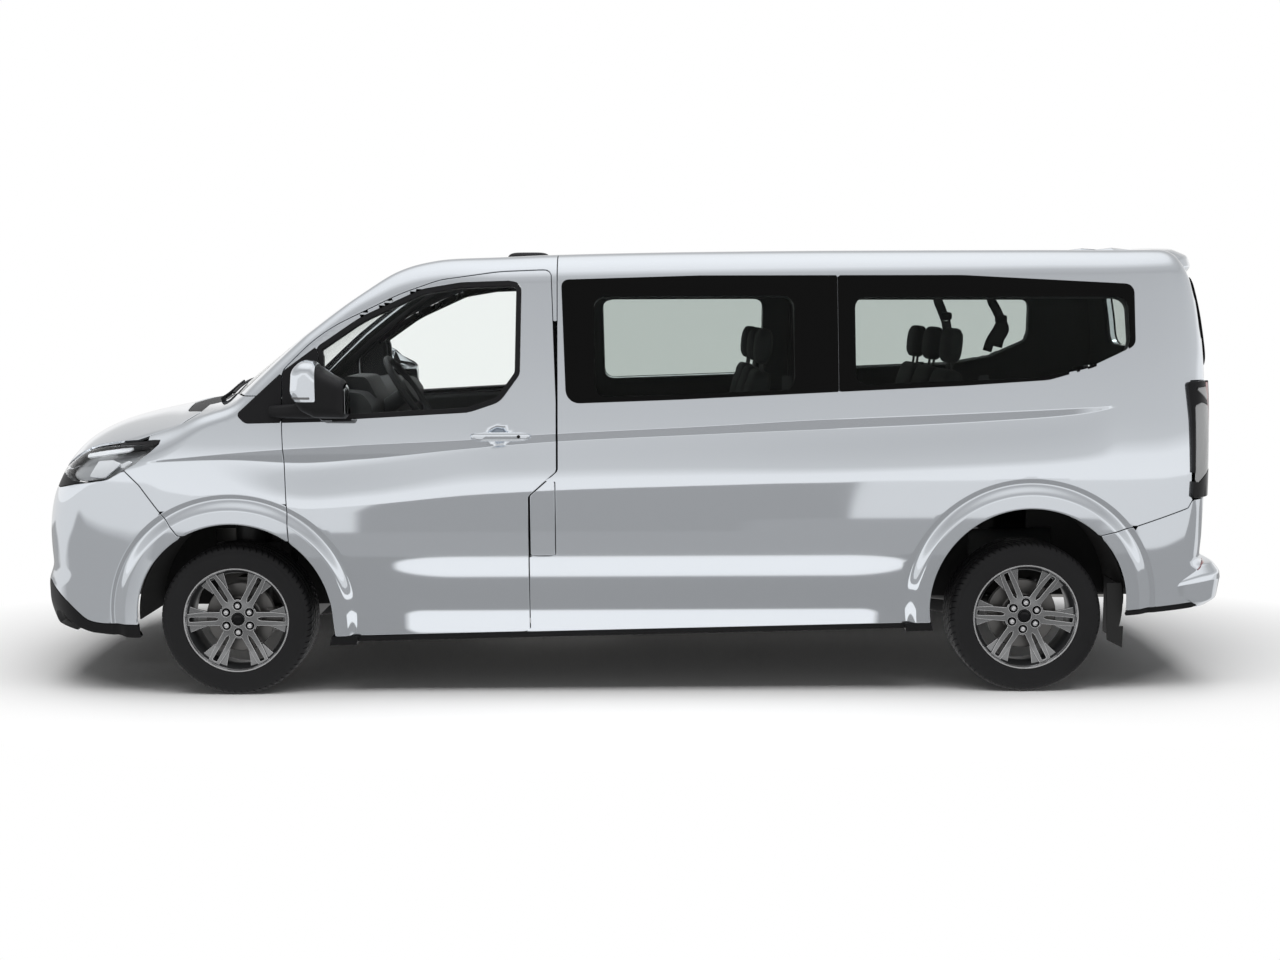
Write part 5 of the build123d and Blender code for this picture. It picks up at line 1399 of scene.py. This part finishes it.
SEAT_BASE = 0.750
FRONT_HIP, SECOND_HIP, THIRD_HIP = -1.150, -2.180, -3.060  # from the front axle
REAR_PLACES = ((0.440, 0.430), (0.0, 0.420), (-0.440, 0.430))
seat_rows = [("front_seats", FRONT_HIP, ((0.450, 0.490), (-0.450, 0.490))),
             ("second_row_seats", SECOND_HIP, REAR_PLACES), ("third_row_seats", THIRD_HIP, REAR_PLACES)]
LEAN = math.radians(12.5)
for node, hip_x, places in seat_rows:
    for number, (y, width) in enumerate(places):
        hip, half = FRONT_X + hip_x, width / 2
        tag = f"{node}_{number}"
        p, f = pillow((0.262, half - 0.004, 0.066), 5.0)
        pads = [("cushion", leaned(p, math.radians(-2.5), (hip + 0.216, y, SEAT_BASE + 0.062)), f)]
        p, f = pillow((0.300, half - 0.006, 0.056), 5.5)
        upright = p[:, [2, 1, 0]]
        pads.append(("backrest", leaned(upright, LEAN, (hip - 0.116, y, SEAT_BASE + 0.368)), f))
        p, f = pillow((0.082, 0.126, 0.043), 3.6, 0.2)
        pads.append(("headrest",
                     leaned(p[:, [2, 1, 0]], math.radians(6), (hip - 0.190, y, SEAT_BASE + 0.773)), f))
        for kind, points, faces in pads:
            faces = outward(points, faces)
            pad = solid(f"{kind}_{tag}", (points, faces), [FABRIC], "body", "seat_fabric", instead=[node],
                        sharp=180)[0]
        posts = [(*tube((hip - 0.180, y + k, SEAT_BASE + 0.640), (hip - 0.190, y + k, SEAT_BASE + 0.720),
                        0.0065), 0) for k in (-0.055, 0.055)]
        solid(f"headrest_posts_{tag}", joined(*posts), [BLACK_STEEL], "body", "steel", instead=[node])

strap_section = oval(0.023, 0.0009, 6, 16)
straps = []
for hip_x in (FRONT_HIP, SECOND_HIP, THIRD_HIP):
    hip = FRONT_X + hip_x
    for side in (1, -1):
        top = 1.60 if hip_x == FRONT_HIP else 1.40
        straps.append(curve([(hip - 0.27, side * 0.782, top), (hip - 0.272, side * 0.780, 1.15),
                             (hip - 0.265, side * 0.778, 0.90)], 20))
for top_x, low_x in ((-1.547, -1.592), (-1.812, -1.868)):
    straps.append(curve([(top_x, 0.0, 1.900), (top_x - 0.004, 0.0, 1.74), ((top_x + low_x) / 2, 0.0, 1.69),
                         (low_x, 0.004, 1.632)], 20))
straps.append(curve([(-1.868, 0.004, 1.632), (-1.850, 0.0, 1.590), (-1.815, 0.0, 1.530), (-1.800, 0.0, 1.48)],
                    16))
straps.append(curve([(-1.868, 0.004, 1.632), (-1.885, 0.0, 1.590), (-1.862, 0.0, 1.540), (-1.852, 0.0, 1.50)],
                    16))
straps.append(curve([(-1.592, 0.004, 1.632), (-1.602, 0.0, 1.58), (-1.615, 0.0, 1.50)], 16))
shapes = [(*sweep(path, strap_section, across=(1, 0, 0)), 0) for path in straps]
solid("belt_straps", joined(*shapes), [WEBBING], "body", "belt", instead=["seat_belts"], sharp=30)
buckles = []
for x, z in ((-1.592, 1.655), (-1.866, 1.640)):
    p, f = pillow((0.030, 0.010, 0.021), 4.0, 0.0, 12, 24)
    buckles.append((p + (x, 0.002, z), f, 0))
solid("belt_buckles", joined(*buckles), [TRIM], "body", "black_plastic", instead=["seat_belts"])

# ---- Rear bumper's step ----
step_path = curve([(-2.36, 0.950, 0.45), (-2.50, 0.932, 0.47), (-2.60, 0.895, 0.48), (-2.645, 0.80, 0.48),
                   (-2.660, 0.55, 0.48), (-2.662, 0.20, 0.48), (-2.662, 0.0, 0.48)], 44)
step_path = np.concatenate([step_path, step_path[-2::-1] * (1, -1, 1)])
step_section = outline((0.085, -0.05), (0.085, 0.004, 0.02), (0.045, 0.036, 0.03), (0.015, 0.040, 0.03),
                       (-0.075, 0.026, 0.03), (-0.110, -0.02, 0.02), (-0.110, -0.05))
grow = np.clip((-2.34 - step_path[:, 0]) / 0.20, 0.12, 1.0)
solid("rear_step", sweep(step_path, step_section, scale=grow), [PAINT], "body", "paint",
      instead=["rear_bumper"], sharp=50)

# ---- Wipers, lying along the foot of the windscreen ----
def on_screen(y, h, away):
    """Points a given distance off the windscreen."""
    y, h = np.array(y, float), np.array(h, float)
    return meet(*rays_screen(y, h), depth=-away)


for name, pivot, tip in (("left", 0.62, 0.02), ("right", -0.06, -0.64)):
    arm = on_screen(np.linspace(pivot, (pivot + tip) / 2, 14), 0.035 + 0.052 * np.linspace(0, 1, 14) ** 0.7,
                    0.016)
    blade = on_screen(np.linspace(pivot - 0.03, tip, 30), np.linspace(0.082, 0.090, 30), 0.009)
    spindle = on_screen([pivot, pivot], [0.035, 0.0351], 0.0)
    post = np.linspace(spindle[0] + (0, 0, -0.03), arm[0] + (0, 0, 0.004), 6)
    shapes = [(*sweep(arm, oval(0.009, 0.004, 4, 16)), 0), (*sweep(blade, oval(0.005, 0.007, 3, 16)), 0),
              (*sweep(post, oval(0.011, 0.011, 2, 20), across=(1, 0, 0)), 0)]
    solid(f"wiper_{name}", joined(*shapes), [SATIN_BLACK], "body", "black_plastic", instead=["wipers"])

# ---- Materials of the solids that are shown as they are ----
kept_materials = {
    "dashboard": TRIM, "engine": IRON, "exhaust": STEEL, "floor_pan": UNDERSIDE, "front_carrier": BLACK_STEEL,
    "front_subframe": BLACK_STEEL,
    "fuel_tank": UNDERSIDE, "grille": GLOSS_BLACK, "knuckle_left": IRON, "knuckle_right": IRON,
    "mud_flaps": RUBBER, "rear_axle": BLACK_STEEL,
    "seat_bases": BLACK_STEEL, "sill_trims": SATIN_BLACK, "slide_rail": SATIN_BLACK, "steering_wheel": TRIM,
    "wheel_arch_liners": FELT,
}
for node, material in kept_materials.items():
    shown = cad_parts[node]
    shown.data.materials.clear()
    shown.data.materials.append(material)
    shown.data.polygons.foreach_set("material_index", np.zeros(len(shown.data.polygons), np.int32))
    shown.data.set_sharp_from_angle(angle=math.radians(35))


# ---- Studio ----
# Painted reflections: glowing patches laid on the floor for mirrored rays only, so the paint mirrors them and
# the
# camera does not see them. Columns: middle (the place along the side that mirrors it, then y), half sizes,
# edge softness, corner radius, brightness.
PAINTED_REFLECTIONS = [
    ((0.12, 33.5), (1.08, 30.4), 0.04, 0.25, 0.33),
    ((4.3, 2.4), (2.0, 1.8), 0.7, 0.9, 0.38),
    ((0.0, 3.78), (2.4, 0.83), 0.10, 0.2, 0.36),
    ((-1.30, 4.75), (0.80, 0.80), 0.10, 0.3, 0.36),
    ((-5.2, 2.0), (3.2, 1.3), 0.15, 0.5, 0.34),
    ((-0.15, 2.25), (2.35, 0.98), 0.05, 0.15, 0.30),
    ((-0.10, 2.88), (1.13, 0.33), 0.03, 0.28, 1.0),
    ((-0.07, 1.62), (1.05, 0.17), 0.03, 0.08, 1.0),
]
CAMERA_PLACE = (-0.072, 7.539, 1.720)
CAMERA_PITCH, CAMERA_ROLL = math.radians(6.63), math.radians(-0.24)
CAMERA_LENS = 42.5         # mm, on a sensor 36 mm wide
FLAT_Y = 6.54              # from the vehicle's side to the camera
FLOOR_WHITE = (0.365, 0.74)  # one over the half axes of the oval beyond which the floor turns white


def mirrored_ray(tree):
    """1 for a ray that was mirrored, 0 for one that went through glass or came straight from the camera."""
    path = add(tree, "LightPath")
    return maths(tree, "MULTIPLY", path.outputs["Is Glossy Ray"],
                 maths(tree, "SUBTRACT", 1.0, path.outputs["Is Transmission Ray"]))


def studio():
    scene = bpy.context.scene
    scene.view_settings.view_transform = "Standard"
    world = bpy.data.worlds.new("studio")
    scene.world = world
    world.use_nodes = True
    tree = world.node_tree
    back = tree.nodes["Background"]
    ray = mirrored_ray(tree)
    up = add(tree, "SeparateXYZ", add(tree, "TexCoord").outputs["Generated"]).outputs[2]
    ramp = tree.nodes.new("ShaderNodeValToRGB")
    tree.links.new(up, ramp.inputs[0])
    stops = [(0.0, 0.92), (0.10, 0.90), (0.17, 0.62), (0.28, 0.55), (0.45, 0.42), (0.62, 0.5), (0.80, 0.85),
             (1.0, 0.95)]
    while len(ramp.color_ramp.elements) < len(stops):
        ramp.color_ramp.elements.new(0.5)
    for element, (place, value) in zip(ramp.color_ramp.elements, stops):
        element.position = place
        element.color = (value, value, value, 1)
    soft = add(tree, "MixRGB", add(tree, "LightPath").outputs["Is Diffuse Ray"], (1, 1, 1, 1),
               (0.16, 0.16, 0.16, 1)).outputs[0]
    mix = add(tree, "MixRGB", ray, soft, ramp.outputs[0]).outputs[0]
    tree.links.new(mix, back.inputs[0])
    back.inputs[1].default_value = 1.0

    rectangle, start, end = node_group("soft_rectangle",
                                       [("Middle", "Vector", (0, 0, 0)), ("Half", "Vector", (1, 1, 0)),
                                        ("Soft", "Float", 0.05), ("Corner", "Float", 0.1)],
                                       [("Mask", "Float")])
    x, y, z = add(rectangle, "SeparateXYZ", add(rectangle, "TexCoord").outputs["Object"]).outputs
    across = maths(rectangle, "ABSOLUTE", y)
    spread = maths(rectangle, "ADD",
                   maths(rectangle, "MULTIPLY", maths(rectangle, "SUBTRACT", across, 1.0), 1 / FLAT_Y), 1.0)
    flat = add(rectangle, "CombineXYZ", maths(rectangle, "DIVIDE", x, spread), across, 0.0).outputs[0]
    away = add(rectangle, "VectorMath", flat, start.outputs["Middle"], operation="SUBTRACT").outputs[0]
    folded = add(rectangle, "VectorMath", away, operation="ABSOLUTE").outputs[0]
    corner = add(rectangle, "CombineXYZ", start.outputs["Corner"], start.outputs["Corner"], 0.0).outputs[0]
    inner = add(rectangle, "VectorMath", start.outputs["Half"], corner, operation="SUBTRACT").outputs[0]
    beyond = add(rectangle, "VectorMath", folded, inner, operation="SUBTRACT").outputs[0]
    outside = add(rectangle, "VectorMath", beyond, (0, 0, 0), operation="MAXIMUM").outputs[0]
    length = add(rectangle, "VectorMath", outside, operation="LENGTH").outputs["Value"]
    depth = maths(rectangle, "SUBTRACT", length, start.outputs["Corner"])
    mask = maths(rectangle, "SUBTRACT", 0.5, maths(rectangle, "DIVIDE", depth, start.outputs["Soft"]))
    mask.node.use_clamp = True
    rectangle.links.new(mask, end.inputs["Mask"])

    floor = bpy.data.materials.new("studio_floor")
    floor.use_nodes = True
    tree = floor.node_tree
    plain = tree.nodes["Principled BSDF"]
    plain.inputs["Base Color"].default_value = (0.93, 0.93, 0.93, 1)
    plain.inputs["Roughness"].default_value = 0.9
    plain.inputs["Specular IOR Level"].default_value = 0.0
    # What mirrored rays see on the floor, a painted reflection: 0.74 grey, with the patches laid over it.
    tone = (0.74, 0.74, 0.74, 1)
    for middle, half, soft, corner, value in PAINTED_REFLECTIONS:
        box = tree.nodes.new("ShaderNodeGroup")
        box.node_tree = rectangle
        box.inputs["Middle"].default_value = (*middle, 0)
        box.inputs["Half"].default_value = (*half, 1)
        box.inputs["Soft"].default_value = soft
        box.inputs["Corner"].default_value = corner
        tone = add(tree, "MixRGB", box.outputs[0], tone, (value, value, value, 1)).outputs[0]
    # The floor glows with these tones for mirrored rays only: painted reflections on the body.
    painted_reflection = add(tree, "Emission", tone, 1.0)
    ray = mirrored_ray(tree)
    away = add(tree, "VectorMath", add(tree, "TexCoord").outputs["Object"], (*FLOOR_WHITE, 0.0),
               operation="MULTIPLY").outputs[0]
    far = maths(tree, "MULTIPLY",
                maths(tree, "SUBTRACT", add(tree, "VectorMath", away, operation="LENGTH").outputs["Value"],
                      1.0), 1.8)
    far.node.use_clamp = True
    white = add(tree, "Emission", (1, 1, 1, 1), 1.0)
    shown = add(tree, "MixShader", far, plain.outputs[0], white.outputs[0])
    mixed = add(tree, "MixShader", ray, shown.outputs[0], painted_reflection.outputs[0])
    tree.links.new(mixed.outputs[0], tree.nodes["Material Output"].inputs[0])
    size = 60.0
    ground = build("studio_ground",
                   np.array([[-size, -size, 0], [size, -size, 0], [size, size, 0], [-size, size, 0]], float),
                   np.array([[0, 1, 2, 3]]), [0], [floor])

    key = bpy.data.lights.new("softbox", "AREA")
    key.shape, key.size, key.size_y, key.energy = "RECTANGLE", 8.0, 4.5, 470.0
    lamp_object = bpy.data.objects.new("softbox", key)
    lamp_object.location = (0, 1.0, 5.2)
    lamp_object.visible_glossy = False
    scene.collection.objects.link(lamp_object)

    lens = bpy.data.cameras.new("camera")
    lens.lens, lens.sensor_width, lens.clip_end = CAMERA_LENS, 36.0, 200.0
    camera = bpy.data.objects.new("camera", lens)
    pitch, roll = CAMERA_PITCH, CAMERA_ROLL
    right = np.array([-1.0, 0, 0])
    ahead = np.array([0, -math.cos(pitch), -math.sin(pitch)])
    up = np.array([0, -math.sin(pitch), math.cos(pitch)])
    side = math.cos(roll) * right + math.sin(roll) * up
    top = -math.sin(roll) * right + math.cos(roll) * up
    camera.matrix_world = Matrix([[side[i], top[i], -ahead[i], CAMERA_PLACE[i]] for i in range(3)]
                                 + [[0, 0, 0, 1]])
    scene.collection.objects.link(camera)
    scene.camera = camera


studio()
